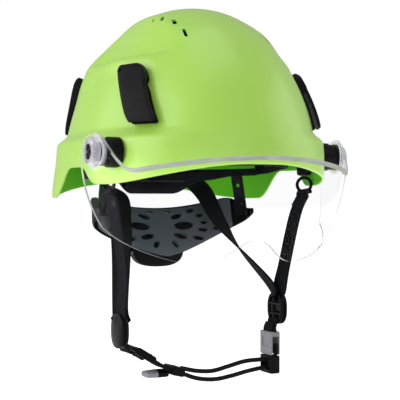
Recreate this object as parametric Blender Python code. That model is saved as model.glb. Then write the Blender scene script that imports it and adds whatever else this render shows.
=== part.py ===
"""Climbing-style forestry helmet with a half-face visor and a Y chin strap.

All shapes are worked out in millimetres and stored in metres. +Z is up, the
forehead faces -Y, the wearer's right is -X. The origin is the middle of the
head opening, at the height of the visor's pivots.
"""
import math

import bmesh
import bpy
from mathutils import Matrix, Vector

for leftover in list(bpy.data.objects):
    bpy.data.objects.remove(leftover, do_unlink=True)

MM = 0.001
GAP = 0.35                      # air between pieces that touch on the real helmet

# ---- driving dimensions, millimetres and degrees --------------------------
SHELL_HALF_WIDTH = 103.6
SHELL_FRONT = 138.8
SHELL_REAR = 134.2
SHELL_HEIGHT = 134.6
SHELL_WALL = 2.6
FRONT_ROUNDNESS = 2.12          # superellipse exponents of the plan outline
REAR_ROUNDNESS = 2.42
DOME_RISE = 1.61                # exponents of the dome's side curve
DOME_FULLNESS = 2.24
BAND_DEPTH = 7.4                # how far the lower band stands out
BAND_TOP = 20.0
BAND_FULL = 11.0
SHELL_COLUMNS = 72

PIVOT_Y = -67.0
VISOR_X = 120.0                 # outer face of the visor's arms
VISOR_THICKNESS = 2.2
VISOR_CENTRE_Y = -60.0
VISOR_REACH = 88.0
HUB_RADIUS = 12.3
PIN_RADIUS = 6.4
PIVOT_BASE_RADIUS = 11.4

RING_CENTRE_Y = -15.0           # head ring, an ellipse inside the shell
RING_HALF_WIDTH = 75.0
RING_HALF_LENGTH = 100.0
# plan of the nape cradle's inner face, from the middle of the back to a wing's tip
NAPE_PLAN = ((0, 54.7), (30, 54.3), (56, 50.5), (70, 43), (77.5, 33), (79, 18), (75, 7), (66, -2))
NAPE_MIDDLE_Z = -69.5
NAPE_LEAN = 0.5                 # the cradle's top leans back by this much of its height
KNOB_CENTRE = Vector((0.0, 76.0, -82.0))
KNOB_RADIUS = 21.0
PINION_RADIUS = 6.0

WEBBING_WIDTH = 20.0
WEBBING_THICKNESS = 1.6
CHIN_Y = -27.0                  # the fore-and-aft place of the whole lower strap
SLIDER_RIGHT = Vector((-79.0, CHIN_Y, -152.0))
SLIDER_LEFT = Vector((81.0, CHIN_Y, -140.0))
HINGE_POINT = Vector((-76.0, CHIN_Y, -166.0))
STRAP_ANCHOR_X = 97.6
STRAP_ANCHOR_Y = -47.0
BUCKLE_X = 73.0
BUCKLE_MOUTH_Z = -182.5
CORD_DIAMETER = 4.0


# ---- materials ---------------------------------------------------------------
def principled(name, colour, roughness, metallic=0.0, transmission=0.0):
    material = bpy.data.materials.new(name)
    material.use_nodes = True
    shader = material.node_tree.nodes["Principled BSDF"]
    shader.inputs["Base Color"].default_value = (*colour, 1.0)
    shader.inputs["Roughness"].default_value = roughness
    shader.inputs["Metallic"].default_value = metallic
    shader.inputs["Transmission Weight"].default_value = transmission
    material.diffuse_color = (*colour, 1.0)
    return material


COLOURS = {
    "hi_viz_shell": ((0.36, 0.80, 0.05), 0.32),
    "liner_foam": ((0.03, 0.03, 0.035), 0.90),
    "clear_visor": ((0.95, 0.96, 0.97), 0.05),
    "milky_seal": ((0.62, 0.60, 0.66), 0.45),
    "black_plastic": ((0.015, 0.015, 0.018), 0.35),
    "harness_plastic": ((0.045, 0.05, 0.07), 0.50),
    "slate_pad": ((0.11, 0.14, 0.16), 0.85),
    "black_webbing": ((0.02, 0.02, 0.024), 0.90),
    "black_elastic": ((0.02, 0.02, 0.022), 0.70),
    "grey_plastic": ((0.30, 0.29, 0.33), 0.45),
}


# ---- mesh helpers --------------------------------------------------------------
def add_object(name, verts, faces, colour, origin=(0, 0, 0), smooth=True):
    """One closed piece from vertices in mm, with its own material."""
    origin = Vector(origin)
    work = bmesh.new()
    made = [work.verts.new((Vector(v) - origin) * MM) for v in verts]
    for face in faces:
        work.faces.new([made[i] for i in face])
    bmesh.ops.recalc_face_normals(work, faces=work.faces)
    bmesh.ops.triangulate(work, faces=[f for f in work.faces if len(f.verts) > 4])
    mesh = bpy.data.meshes.new(name)
    work.to_mesh(mesh)
    work.free()
    if smooth:
        mesh.shade_smooth()
        mesh.set_sharp_from_angle(angle=math.radians(35))
    tint, roughness = COLOURS[colour]
    transmission = 0.9 if colour == "clear_visor" else 0.0
    mesh.materials.append(principled(name + "_" + colour, tint, roughness, 0.0, transmission))
    piece = bpy.data.objects.new(name, mesh)
    piece.location = origin * MM
    bpy.context.scene.collection.objects.link(piece)
    return piece


def loft(name, loops, colour, origin=(0, 0, 0), ring=False, smooth=True):
    """Skin a list of equal loops; the ends are capped unless it is a ring."""
    count = len(loops[0])
    verts = [point for loop in loops for point in loop]
    faces = []
    spans = len(loops) if ring else len(loops) - 1
    for i in range(spans):
        low = i * count
        high = ((i + 1) % len(loops)) * count
        for k in range(count):
            following = (k + 1) % count
            faces.append((low + k, low + following, high + following, high + k))
    if not ring:
        faces.append(tuple(range(count)))
        faces.append(tuple(range((len(loops) - 1) * count, len(loops) * count)))
    return add_object(name, verts, faces, colour, origin, smooth)


def round_section(centre, across, up, half_w, half_h, sides, power=1.0):
    """Points round an ellipse; a power under 1 squares it off."""
    points = []
    for k in range(sides):
        turn = 2 * math.pi * (k + 0.5) / sides
        c, s = math.cos(turn), math.sin(turn)
        c = math.copysign(abs(c) ** power, c)
        s = math.copysign(abs(s) ** power, s)
        points.append(Vector(centre) + across * (c * half_w) + up * (s * half_h))
    return points


def smooth_path(points, steps):
    """Catmull-Rom points through a short list of places."""
    places = [Vector(p) for p in points]
    padded = [places[0] * 2 - places[1]] + places + [places[-1] * 2 - places[-2]]
    path = []
    for i in range(len(places) - 1):
        a, b, c, d = padded[i:i + 4]
        for k in range(steps):
            u = k / steps
            path.append(0.5 * (2 * b + (c - a) * u + (2 * a - 5 * b + 4 * c - d) * u ** 2
                               + (3 * b - a - 3 * c + d) * u ** 3))
    path.append(places[-1])
    return path


def ribbon(name, path, side, width, thickness, colour, origin=(0, 0, 0), last_side=None):
    """A flat strap along a path; its width turns from one side direction to the last one."""
    loops = []
    for i, point in enumerate(path):
        ahead = (path[min(i + 1, len(path) - 1)] - path[max(i - 1, 0)]).normalized()
        across = Vector(side).lerp(Vector(last_side or side), smoothstep(i, 0, len(path) - 1))
        across = (across - ahead * across.dot(ahead)).normalized()
        normal = ahead.cross(across)
        w, t = across * width / 2, normal * thickness / 2
        loops.append([point + w + t, point - w + t, point - w - t, point + w - t])
    return loft(name, loops, colour, origin, smooth=False)


def block(name, centre, size, colour, origin=None, bevel=0.8, turn_y=0.0):
    """A bevelled box; turn_y tips it about the fore-and-aft axis."""
    centre = Vector(centre)
    sx, sy, sz = (s / 2 for s in size)
    corners = [(-sx, -sy, -sz), (sx, -sy, -sz), (sx, sy, -sz), (-sx, sy, -sz),
               (-sx, -sy, sz), (sx, -sy, sz), (sx, sy, sz), (-sx, sy, sz)]
    spin = Matrix.Rotation(math.radians(turn_y), 3, "Y")
    verts = [centre + spin @ Vector(c) for c in corners]
    faces = [(0, 3, 2, 1), (4, 5, 6, 7), (0, 1, 5, 4), (1, 2, 6, 5), (2, 3, 7, 6), (3, 0, 4, 7)]
    piece = add_object(name, verts, faces, colour, origin or centre, smooth=False)
    if bevel:
        edge = piece.modifiers.new("edges", "BEVEL")
        edge.width = bevel * MM
        edge.segments = 1
    return piece


def turned(name, centre, axis, profile, sides, colour, origin=None, bore=0.0):
    """A round piece from (distance along the axis, radius) pairs."""
    axis = Vector(axis).normalized()
    across = axis.orthogonal().normalized()
    up = axis.cross(across)
    centre = Vector(centre)
    outer = [round_section(centre + axis * d, across, up, r, r, sides) for d, r in profile]
    if not bore:
        return loft(name, outer, colour, origin or centre)
    inner = [round_section(centre + axis * d, across, up, bore, bore, sides)
             for d in (profile[-1][0], profile[0][0])]
    return loft(name, outer + inner, colour, origin or centre, ring=True)


def cut(target, cutter):
    """Take the cutter's shape out of the target and drop the cutter."""
    knife = target.modifiers.new("opening", "BOOLEAN")
    knife.operation = "DIFFERENCE"
    knife.object = cutter
    cutter.hide_render = True
    cutter.display_type = "WIRE"


def smoothstep(value, low, high):
    u = min(1.0, max(0.0, (value - low) / (high - low)))
    return u * u * (3 - 2 * u)


# ---- shell surface -----------------------------------------------------------
def shell_outline(angle, inset=0.0):
    """Plan radius; angle 0 is the forehead, positive towards the wearer's left."""
    s, c = abs(math.sin(angle)), math.cos(angle)
    length = (SHELL_FRONT if c > 0 else SHELL_REAR) - inset
    power = FRONT_ROUNDNESS if c > 0 else REAR_ROUNDNESS
    width = SHELL_HALF_WIDTH - inset
    return ((s / width) ** power + (abs(c) / length) ** power) ** (-1 / power)


def rim_height(degrees):
    """The rim: low peak corners, ear arches, deep rear lobes, a nape arch."""
    a = abs(degrees)
    z = -10.5 - 15.5 * smoothstep(a, 5, 62) + 15.0 * smoothstep(a, 70, 81)
    return z - 26.5 * smoothstep(a, 96, 116) + 16.5 * smoothstep(a, 125, 180)


def band_offset(degrees, z):
    a = abs(degrees)
    amount = BAND_DEPTH * smoothstep(a, 14, 42)
    flare = 4.0 * smoothstep(a, 98, 122) * smoothstep(-z, -5, 36)
    return (amount + flare) * (1 - smoothstep(z, BAND_FULL, BAND_TOP))


def crown_relief(x, y, z):
    """Side scallops above a crease, two raised ridges along the crown, and full rear haunches."""
    side = abs(x)
    length = smoothstep(y, -84, -60) * (1 - smoothstep(y, 5, 42))
    crease = 82.5 - 3.0 * smoothstep(y, -30, 40)
    scallop = 4.8 * min(1.0, max(0.0, (side - 45) / 20)) * smoothstep(z, crease, crease + 4) * length
    ridge = 1.4 * math.exp(-((side - 42) / 7) ** 2) * smoothstep(z, 84, 100)
    ledge = 1.9 * math.exp(-((z - crease + 5) / 6) ** 2) * smoothstep(side, 50, 68) * length
    haunch = 4.4 * math.exp(-((z - 76) / 20) ** 2) * smoothstep(side, 45, 75) * smoothstep(y, 5, 42)
    return ridge + ledge + haunch - scallop


def shell_point(degrees, z, inset=0.0, relief=1.0):
    angle = math.radians(degrees)
    height = SHELL_HEIGHT - inset
    radius = shell_outline(angle, inset)
    if z > 0:
        radius *= max(0.0, 1 - (z / height) ** DOME_RISE) ** (1 / DOME_FULLNESS)
    radius += band_offset(degrees, z)
    point = Vector((radius * math.sin(angle), -radius * math.cos(angle), z))
    outward = (point - Vector((0, 0, 30))).normalized()
    return point + outward * relief * crown_relief(point.x, point.y, point.z)


def shell_frame(degrees, z):
    """A point on the outer face, with its outward normal."""
    point = shell_point(degrees, z)
    along = shell_point(degrees + 0.5, z) - shell_point(degrees - 0.5, z)
    rise = shell_point(degrees, z + 0.5) - shell_point(degrees, z - 0.5)
    return point, along.cross(rise).normalized()


def dome_levels(start, stop, count):
    """Heights that crowd together towards the crown, as the surface turns over."""
    low, high = math.asin(start / SHELL_HEIGHT), math.asin(stop / SHELL_HEIGHT)
    return [SHELL_HEIGHT * math.sin(low + (high - low) * k / (count - 1)) for k in range(count)]


def shell_rings(inset, relief):
    """Rings from the rim up to a small ring round the crown."""
    angles = [360 * k / SHELL_COLUMNS - 180 for k in range(SHELL_COLUMNS)]
    rings = []
    for share in (0.0, 0.33, 0.66, 1.0):
        rings.append([shell_point(a, rim_height(a) * (1 - share) + BAND_FULL * share, inset, relief)
                      for a in angles])
    levels = [15.5] + dome_levels(BAND_TOP, SHELL_HEIGHT * 0.997, 9)
    shrink = (SHELL_HEIGHT - inset) / SHELL_HEIGHT
    for z in levels:
        rings.append([shell_point(a, z if z < 30 else z * shrink, inset, relief) for a in angles])
    return rings


def make_shell():
    outer = shell_rings(0.0, 1.0)
    inner = shell_rings(SHELL_WALL, 1.0)
    shell = loft("outer_shell", list(reversed(inner)) + outer, "hi_viz_shell")
    for index, (degrees, z, length, width, turn) in enumerate(VENTS):
        for side in (-1, 1):
            point, normal = shell_frame(side * degrees, z)
            fore = Vector((0, -1, 0))
            fore = (fore - normal * fore.dot(normal)).normalized()
            fore = Matrix.Rotation(math.radians(side * turn), 3, normal) @ fore
            across = normal.cross(fore)
            loops = [round_section(point + normal * d, fore, across, length / 2, width / 2, 8, 0.6)
                     for d in (-9, 6)]
            cut(shell, loft("vent_cutter_%d_%s" % (index, "right" if side < 0 else "left"),
                            loops, "black_plastic"))


# angle from the forehead, height, slot length and width, and its turn off the fore-and-aft line
VENTS = ((62, 118.5, 4.5, 2.6, 48), (50, 118.5, 9, 3.4, 44), (36.6, 113.5, 10.5, 3.8, 22),
         (28.4, 101.6, 13, 2.8, 24))


def make_liner():
    """The energy-absorbing liner, a thinner dome inside the shell."""
    angles = [360 * k / 40 - 180 for k in range(40)]
    rings = []
    for inset in (16.0, 8.5):
        height = SHELL_HEIGHT - inset
        levels = [20.0 + (height * 0.995 - 20.0) * math.sin(math.pi / 2 * k / 7) for k in range(8)]
        layer = [[shell_point(a, z, inset, 0.0) for a in angles] for z in levels]
        rings.append(layer)
    loft("impact_liner", list(reversed(rings[0])) + rings[1], "liner_foam")


# ---- lamp clips ----------------------------------------------------------------
def make_lamp_clip(name, side, foot, head, flip):
    """A hook for a lamp strap: fixed at its top, its tongue free at the bottom."""
    low, high, step = 22.5, 73.5, 56.5
    levels = (low, 40.0, step)
    profile = [(z, 0.7) for z in levels] + [(66, 0.7), (72, 0.7), (high, 2.4), (high, 5.6)]
    profile += [(71, 7.6), (step, 7.9), (40, 7.9), (low + 2, 7.6), (low, 6.6)]
    profile += [(z, 5.2) for z in levels] + [(z, 2.4) for z in reversed(levels)]
    loops = []
    for share in (-1.0, -0.5, 0.0, 0.5, 1.0):
        loop = []
        for z, off in profile:
            rise = (z - low) / (high - low)
            half = 13.0 + 3.4 * rise
            if share * flip > 0 and z > step:
                half += 4.2
            middle = foot + (head - foot) * rise
            radius = shell_outline(math.radians(middle))
            degrees = side * middle + math.degrees(share * half / radius) * side
            point, normal = shell_frame(degrees, z)
            loop.append(point + normal * off)
        loops.append(loop)
    loft(name, loops, "black_plastic")


def make_lamp_clips():
    for side, word in ((-1, "right"), (1, "left")):
        make_lamp_clip("lamp_clip_front_" + word, side, 44, 55.4, -1)
        make_lamp_clip("lamp_clip_rear_" + word, side, 148, 142, 1)


# ---- visor ---------------------------------------------------------------------
def visor_point(turn, z, inset=0.0):
    """The lens: straight arms, then half an ellipse that leans in lower down."""
    drop = max(0.0, -12 - z)
    half_width = VISOR_X - 0.0045 * drop ** 2 - inset
    reach = VISOR_REACH - 0.27 * drop - 0.0017 * drop ** 2 - inset
    a = min(abs(turn), 90.0)
    x = math.copysign(half_width * math.sin(math.radians(a)), turn)
    y = VISOR_CENTRE_Y - reach * math.cos(math.radians(a)) + 1.54 * max(0.0, abs(turn) - 90)
    return Vector((x, y, z))


def visor_top(turn):
    a = abs(turn)
    if a > 84:
        return 15.5 * math.sqrt(max(0.0, 1 - ((a - 84) / 19.4) ** 2))
    return -4 - 10.5 * min(1.0, a / 56) ** 1.6 + 30 * smoothstep(a, 59, 84)


def visor_bottom(turn):
    a = abs(turn)
    if a > 91:
        return -8 - 54 * (1 - ((a - 91) / 12.2) ** 1.3)
    rise = max(0.0, (a - 26) / 65)
    return -92 + 20 * math.exp(-(a / 15) ** 2) + 30 * rise ** 1.6


def visor_turns():
    ends = [k * 2.0 for k in range(38, 52)]
    front = [k * 6.0 for k in range(0, 13)]
    half = [t for t in front if t < 75] + ends
    return [-t for t in reversed(half[1:])] + half


def make_visor():
    origin = Vector((0, PIVOT_Y, 0))
    rows = 7
    loops = []
    for turn in visor_turns():
        top, bottom = visor_top(turn), visor_bottom(turn)
        heights = [bottom + (top - bottom) * k / (rows - 1) for k in range(rows)]
        outer = [visor_point(turn, z) for z in heights]
        inner = [visor_point(turn, z, VISOR_THICKNESS) for z in reversed(heights)]
        loops.append(outer + inner)
    lens = loft("visor_lens", loops, "clear_visor", origin)
    for side, word in ((-1, "right"), (1, "left")):
        centre = Vector((side * (VISOR_X - 8), PIVOT_Y, 0))
        cut(lens, turned("hub_cutter_" + word, centre, (side, 0, 0),
                         ((0, HUB_RADIUS + GAP), (16, HUB_RADIUS + GAP)), 24, "clear_visor"))
    seal = []
    for turn in [k * 5.0 for k in range(-12, 13)]:
        top = visor_top(turn) + 0.6
        seal.append([visor_point(turn, top, -0.4), visor_point(turn, top, -2.0),
                     visor_point(turn, top - 4.0, -2.0), visor_point(turn, top - 4.0, -0.4)])
    loft("visor_brow_seal", seal, "milky_seal", origin, smooth=False)


def make_visor_pivots():
    for side, word in ((-1, "right"), (1, "left")):
        axis = Vector((side, 0, 0))
        outboard = VISOR_X - VISOR_THICKNESS - 0.5
        band = shell_point(side * 58.5, -2.0)
        inboard = abs(band.x) + 6.5
        base = turned("visor_pivot_base_" + word, (side * inboard, PIVOT_Y, 0), axis,
                      ((0, PIVOT_BASE_RADIUS), (outboard - inboard - 1, PIVOT_BASE_RADIUS),
                       (outboard - inboard, PIVOT_BASE_RADIUS - 1)), 24, "black_plastic")
        hub_face = VISOR_X + 4.5
        start = VISOR_X - VISOR_THICKNESS
        turned("visor_hub_" + word, (side * start, PIVOT_Y, 0), axis,
               ((0, HUB_RADIUS), (VISOR_THICKNESS + 1.5, HUB_RADIUS),
                (hub_face - start - 1, HUB_RADIUS - 1.4), (hub_face - start, HUB_RADIUS - 3)),
               24, "clear_visor", bore=PIN_RADIUS + GAP)
        cross = []
        for distance in (outboard + GAP, hub_face - 0.6):
            loop = []
            for k in range(16):
                reach = PIN_RADIUS if k % 4 in (0, 1) else PIN_RADIUS * 0.55
                turn = math.radians(22.5 * k + 33.75)
                loop.append(Vector((side * distance, PIVOT_Y + reach * math.cos(turn),
                                    reach * math.sin(turn))))
            cross.append(loop)
        loft("visor_pivot_pin_" + word, cross, "black_plastic",
             (side * outboard, PIVOT_Y, 0), smooth=False)


# ---- head harness ----------------------------------------------------------------
def ring_point(degrees, z, grow=0.0):
    a = math.radians(degrees)
    return Vector(((RING_HALF_WIDTH + grow) * math.sin(a),
                   RING_CENTRE_Y - (RING_HALF_LENGTH + grow) * math.cos(a), z))


def ring_strip(name, start, stop, steps, low, high, inner, outer, colour, origin=(0, 0, 0)):
    """A piece of the head ring; low and high give its edges at an angle."""
    loops = []
    for k in range(steps + 1):
        a = start + (stop - start) * k / steps
        loops.append([ring_point(a, low(a), inner), ring_point(a, low(a), outer),
                      ring_point(a, high(a), outer), ring_point(a, high(a), inner)])
    return loft(name, loops, colour, origin, smooth=False)


def nape_curve():
    """Half of the cradle's plan as fine points, each with its distance from the middle."""
    path = smooth_path([(x, y, 0) for x, y in NAPE_PLAN], 8)
    walked = [0.0]
    for here, there in zip(path, path[1:]):
        walked.append(walked[-1] + (there - here).length)
    return path, walked


NAPE_PATH, NAPE_WALKED = nape_curve()


def nape_point(offset, z, grow=0.0):
    """A place on the cradle, by its distance along the curve from the middle of the back."""
    reach = min(abs(offset), NAPE_WALKED[-1] - 0.01)
    i = max(k for k in range(len(NAPE_PATH) - 1) if NAPE_WALKED[k] <= reach)
    share = (reach - NAPE_WALKED[i]) / (NAPE_WALKED[i + 1] - NAPE_WALKED[i])
    spot = NAPE_PATH[i].lerp(NAPE_PATH[i + 1], share)
    behind, ahead = NAPE_PATH[max(i - 1, 0)], NAPE_PATH[min(i + 2, len(NAPE_PATH) - 1)]
    outward = (behind - ahead).cross(Vector((0, 0, 1))).normalized()
    if i == 0:
        outward = Vector((0, 1, 0))
    lean = NAPE_LEAN * (z - NAPE_MIDDLE_Z) * max(0.0, outward.y) ** 2
    place = spot + outward * grow + Vector((0, lean, z))
    return Vector((math.copysign(place.x, offset), place.y, place.z))


def nape_low(offset):
    return -94 + 33 * (abs(offset) / 85) ** 1.35


def nape_high(offset):
    s = abs(offset)
    return -47 + 10 * min(1.0, s / 70) ** 2 - 10 * smoothstep(s, 74, 92)


def nape_strip(name, reach, steps, inner, outer, trim, colour, boss=0.0):
    """A curved plate; boss is how far back its middle stands, to meet the adjuster."""
    loops = []
    for k in range(steps + 1):
        offset = reach * (2 * k / steps - 1)
        low, high = nape_low(offset) + trim, nape_high(offset) - trim
        middle = low + 0.5 * (high - low)
        backs = []
        for z in (low, middle):
            spot = nape_point(offset, z, outer)
            if abs(offset) < 25:
                spot.y = max(spot.y, boss)
            backs.append(spot)
        loops.append([nape_point(offset, low, inner), backs[0], backs[1],
                      nape_point(offset, high, outer), nape_point(offset, high, inner),
                      nape_point(offset, middle, inner)])
    return loft(name, loops, colour, KNOB_CENTRE)


def make_headband():
    def front_low(a):
        return -11.0 - 4.0 * smoothstep(abs(a), 62, 100)

    def front_high(a):
        return 8.0 - 13.5 * smoothstep(abs(a), 50, 100)

    def rear_low(a):
        side = abs(180 - abs(a))
        return -33.0 + 13.0 * smoothstep(side, 18, 42) + 4.0 * smoothstep(side, 42, 66)

    ring_strip("headband_front", -52, 52, 12, front_low, front_high, 0, 1.8, "harness_plastic")
    ring_strip("brow_pad", -56, 56, 12, lambda a: -10.0, lambda a: 7.0, -5.5, -0.4, "slate_pad")
    for side, word in ((-1, "right"), (1, "left")):
        ring_strip("headband_arm_" + word, side * 53, side * 100, 7, front_low, front_high,
                   0, 1.8, "harness_plastic")
    ring_strip("headband_rear", 96, 264, 16, rear_low, lambda a: -9.0, -4.6, -2.4,
               "harness_plastic", KNOB_CENTRE)


def make_crown():
    for index, (word, side) in enumerate((("a", 1), ("b", -1))):
        start = Vector((side * 47, -92, 12))
        stop = Vector((-side * 50, 58, 12))
        middle, half = (start + stop) / 2, (stop - start) / 2
        lift = 84.0 + 4.0 * index
        path = [middle - half * math.cos(math.pi * k / 14)
                + Vector((0, 0, lift * math.sin(math.pi * k / 14))) for k in range(15)]
        side_way = half.cross(Vector((0, 0, 1)))
        ribbon("crown_strap_" + word, path, side_way, WEBBING_WIDTH, 1.4, "black_webbing")
    turned("crown_pad", (0, -17, 83), (0, 0, 1), ((0, 24), (1.5, 28), (5, 28), (6.5, 24)), 20,
           "slate_pad")
    places = (("front_right", -37), ("front_left", 37), ("rear_right", -143), ("rear_left", 143))
    for word, degrees in places:
        inner = ring_point(degrees, 0, 4.5)
        outward = Vector((inner.x, inner.y, 0)).normalized()
        wall = shell_point(math.degrees(math.atan2(inner.x, -inner.y)), 0, SHELL_WALL)
        outer = outward * (Vector((wall.x, wall.y, 0)).length - 3.5)
        across = Vector((-outward.y, outward.x, 0))
        loops = []
        for spot, half in ((inner, 6.5), (outer, 9.0)):
            loops.append([Vector((spot.x, spot.y, 0)) + across * (s * half) + Vector((0, 0, h))
                          for s, h in ((-1, -6), (1, -6), (1, 7), (-1, 7))])
        loft("suspension_anchor_" + word, loops, "harness_plastic", smooth=False)


def make_nape():
    back = KNOB_CENTRE.y - 17.5 - GAP
    nape_strip("nape_cradle", 101, 24, 0.0, 2.6, 0.0, "harness_plastic", back)
    nape_strip("nape_pad", 76.5, 17, -4.6, -1.0, 1.5, "slate_pad")
    for side, word in ((-1, "right"), (1, "left")):
        path = smooth_path((ring_point(side * 116, -12, 1.6), (side * 71.5, 29, -30),
                            (side * 73.5, 28, -46), (side * 73.8, 28, -54)), 3)
        ribbon("nape_hanger_" + word, path, (0, 1, 0), 20, 2.2, "harness_plastic", KNOB_CENTRE)


def make_size_adjuster():
    front = KNOB_CENTRE.y - 17.5
    housing = []
    for y, w, h in ((front, 25, 15.5), (front + 2, 27, 17.5), (front + 10, 27, 17.5),
                    (front + 12, 25, 15.5)):
        housing.append(round_section((0, y, KNOB_CENTRE.z - 4.5), Vector((1, 0, 0)),
                                     Vector((0, 0, 1)), w, h, 20, 0.75))
    shell = loft("ratchet_housing", housing, "black_plastic", KNOB_CENTRE)
    slot = block("rack_slot_cutter", (0, front + 6, KNOB_CENTRE.z), (70, 6.4, 20.4),
                 "black_plastic", bevel=0)
    cut(shell, slot)
    bore = turned("shaft_cutter", (0, front + 6, KNOB_CENTRE.z), (0, 1, 0),
                  ((0, 4.4), (9, 4.4)), 16, "black_plastic")
    cut(shell, bore)
    turned("ratchet_knob", (0, front + 12.5, KNOB_CENTRE.z), (0, 1, 0),
           ((0, KNOB_RADIUS - 1), (1.5, KNOB_RADIUS), (9, KNOB_RADIUS - 0.6),
            (11, KNOB_RADIUS - 2.6)), 28, "black_plastic", KNOB_CENTRE)
    pinion = []
    for d in (0.0, 5.0):
        loop = []
        for k in range(24):
            radius = PINION_RADIUS + (0.7 if k % 2 else -0.7)
            turn = 2 * math.pi * k / 24
            loop.append(Vector((radius * math.cos(turn), front + 3.5 + d,
                                KNOB_CENTRE.z + radius * math.sin(turn))))
        pinion.append(loop)
    for d in (5.0, 8.9):
        pinion.append([Vector((4.0 * math.cos(2 * math.pi * k / 24), front + 3.5 + d,
                               KNOB_CENTRE.z + 4.0 * math.sin(2 * math.pi * k / 24)))
                       for k in range(24)])
    loft("ratchet_pinion", pinion, "grey_plastic", KNOB_CENTRE, smooth=False)
    for side, word in ((-1, "right"), (1, "left")):
        level = KNOB_CENTRE.z + side * 8.6
        block("rack_strip_" + word, (side * 11, front + 6, level), (42, 2.4, 2.6),
              "grey_plastic", bevel=0.3)


# ---- chin strap -----------------------------------------------------------------
def make_side_straps():
    for side, word, slider in ((-1, "right", SLIDER_RIGHT), (1, "left", SLIDER_LEFT)):
        block("strap_anchor_front_" + word, (side * STRAP_ANCHOR_X, STRAP_ANCHOR_Y, -9), (5.4, 18, 15),
              "black_plastic")
        loops = []
        centre = Vector((side * STRAP_ANCHOR_X, STRAP_ANCHOR_Y, -25))
        for k in range(14):
            turn = 2 * math.pi * k / 14
            spoke = Vector((0, math.cos(turn), math.sin(turn)))
            hub = centre + Vector((0, 11.5 * spoke.y, 6.5 * spoke.z))
            loops.append(round_section(hub, Vector((1, 0, 0)), spoke, 1.5, 1.5, 6))
        loft("strap_ring_front_" + word, loops, "black_plastic", ring=True)
        top = slider + Vector((0, 0, 15.5))
        path = smooth_path(((side * (STRAP_ANCHOR_X - 0.2), STRAP_ANCHOR_Y, -33.6), (side * 90, -43, -54),
                            (side * 81, -38, -102), top + Vector((side * 1.0, -3, 0))), 3)
        ribbon("front_strap_" + word, path, (0, 1, -0.15), WEBBING_WIDTH, WEBBING_THICKNESS,
               "black_webbing")
        block("strap_anchor_rear_" + word, (side * 54, 96, -14), (20, 8, 10), "black_plastic")
        path = smooth_path(((side * 53, 91, -20), (side * 46.5, 53.0, -33.5), (side * 52.5, 32, -61),
                            (side * 60.5, 12, -84), top + Vector((-side * 3.0, 6, 5))), 4)
        ribbon("rear_strap_" + word, path, (side * 0.93, 0, 0.37), WEBBING_WIDTH, WEBBING_THICKNESS,
               "black_webbing", last_side=(side * 0.3, 0.75, -0.6))
        slider_loops = []
        for x, w, h in ((-4.2, 9.5, 11.5), (-2.5, 12.5, 14.8), (1.5, 12.8, 15.0), (4.4, 8, 9.5)):
            slider_loops.append(round_section(slider + Vector((side * x, 0, 0)),
                                              Vector((0, 1, 0)), Vector((0, 0, 1)), w, h, 16, 0.8))
        loft("y_slider_" + word, slider_loops, "black_plastic")


def make_chin_webbing():
    """Everything from the right slider's hinge bar to the keeper where the cords start."""
    y = CHIN_Y
    first = [HINGE_POINT + Vector((1.5, 0, -3.5)), Vector((-71.2, y, -169.9))]
    block("chin_adjuster", (-59, y, -173.5), (21, 25, 8), "black_plastic", HINGE_POINT, turn_y=32)
    ribbon("chin_link", first, (0, 1, 0), WEBBING_WIDTH, WEBBING_THICKNESS, "black_webbing",
           HINGE_POINT)
    path = smooth_path(((-49, y, -179.6), (-41, y, -184.5), (-33.4, y, -187.6)), 3)
    ribbon("chin_webbing", path, (0, 1, 0), WEBBING_WIDTH, 3.0, "black_webbing", HINGE_POINT)
    block("strap_keeper", (-27, y, -190.0), (12, 23, 8), "black_plastic", HINGE_POINT, turn_y=14)
    tip = []
    for x, w, h in ((-56, 5.5, 2.0), (-53, 8, 2.8), (-44, 9, 3.2), (-36, 9, 3.2)):
        tip.append(round_section((x, y, -191.5), Vector((0, 1, 0)), Vector((0, 0, 1)),
                                 w, h, 10, 0.7))
    loft("strap_end_tip", tip, "grey_plastic", HINGE_POINT)


UPPER_CORD = ((-20.2, -188.6), (-4, -192.4), (12, -193.6), (28, -190.8), (46, -187.4), (67, -187.0))
LOWER_CORD = ((-20.2, -193.0), (-4, -199.0), (14, -201.4), (32, -199.6), (48, -196.8), (67, -194.4))


def make_cords():
    for name, route in (("chin_cord_upper", UPPER_CORD), ("chin_cord_lower", LOWER_CORD)):
        path = smooth_path([(x, CHIN_Y, z) for x, z in route], 3)
        curve = bpy.data.curves.new(name, "CURVE")
        curve.dimensions = "3D"
        curve.bevel_depth = CORD_DIAMETER / 2 * MM
        curve.bevel_resolution = 1
        curve.use_fill_caps = True
        line = curve.splines.new("POLY")
        line.points.add(len(path) - 1)
        for place, knot in zip(path, line.points):
            knot.co = (*((place - HINGE_POINT) * MM), 1.0)
        tint, roughness = COLOURS["black_elastic"]
        curve.materials.append(principled(name + "_elastic", tint, roughness))
        cord = bpy.data.objects.new(name, curve)
        cord.location = HINGE_POINT * MM
        bpy.context.scene.collection.objects.link(cord)


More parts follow.
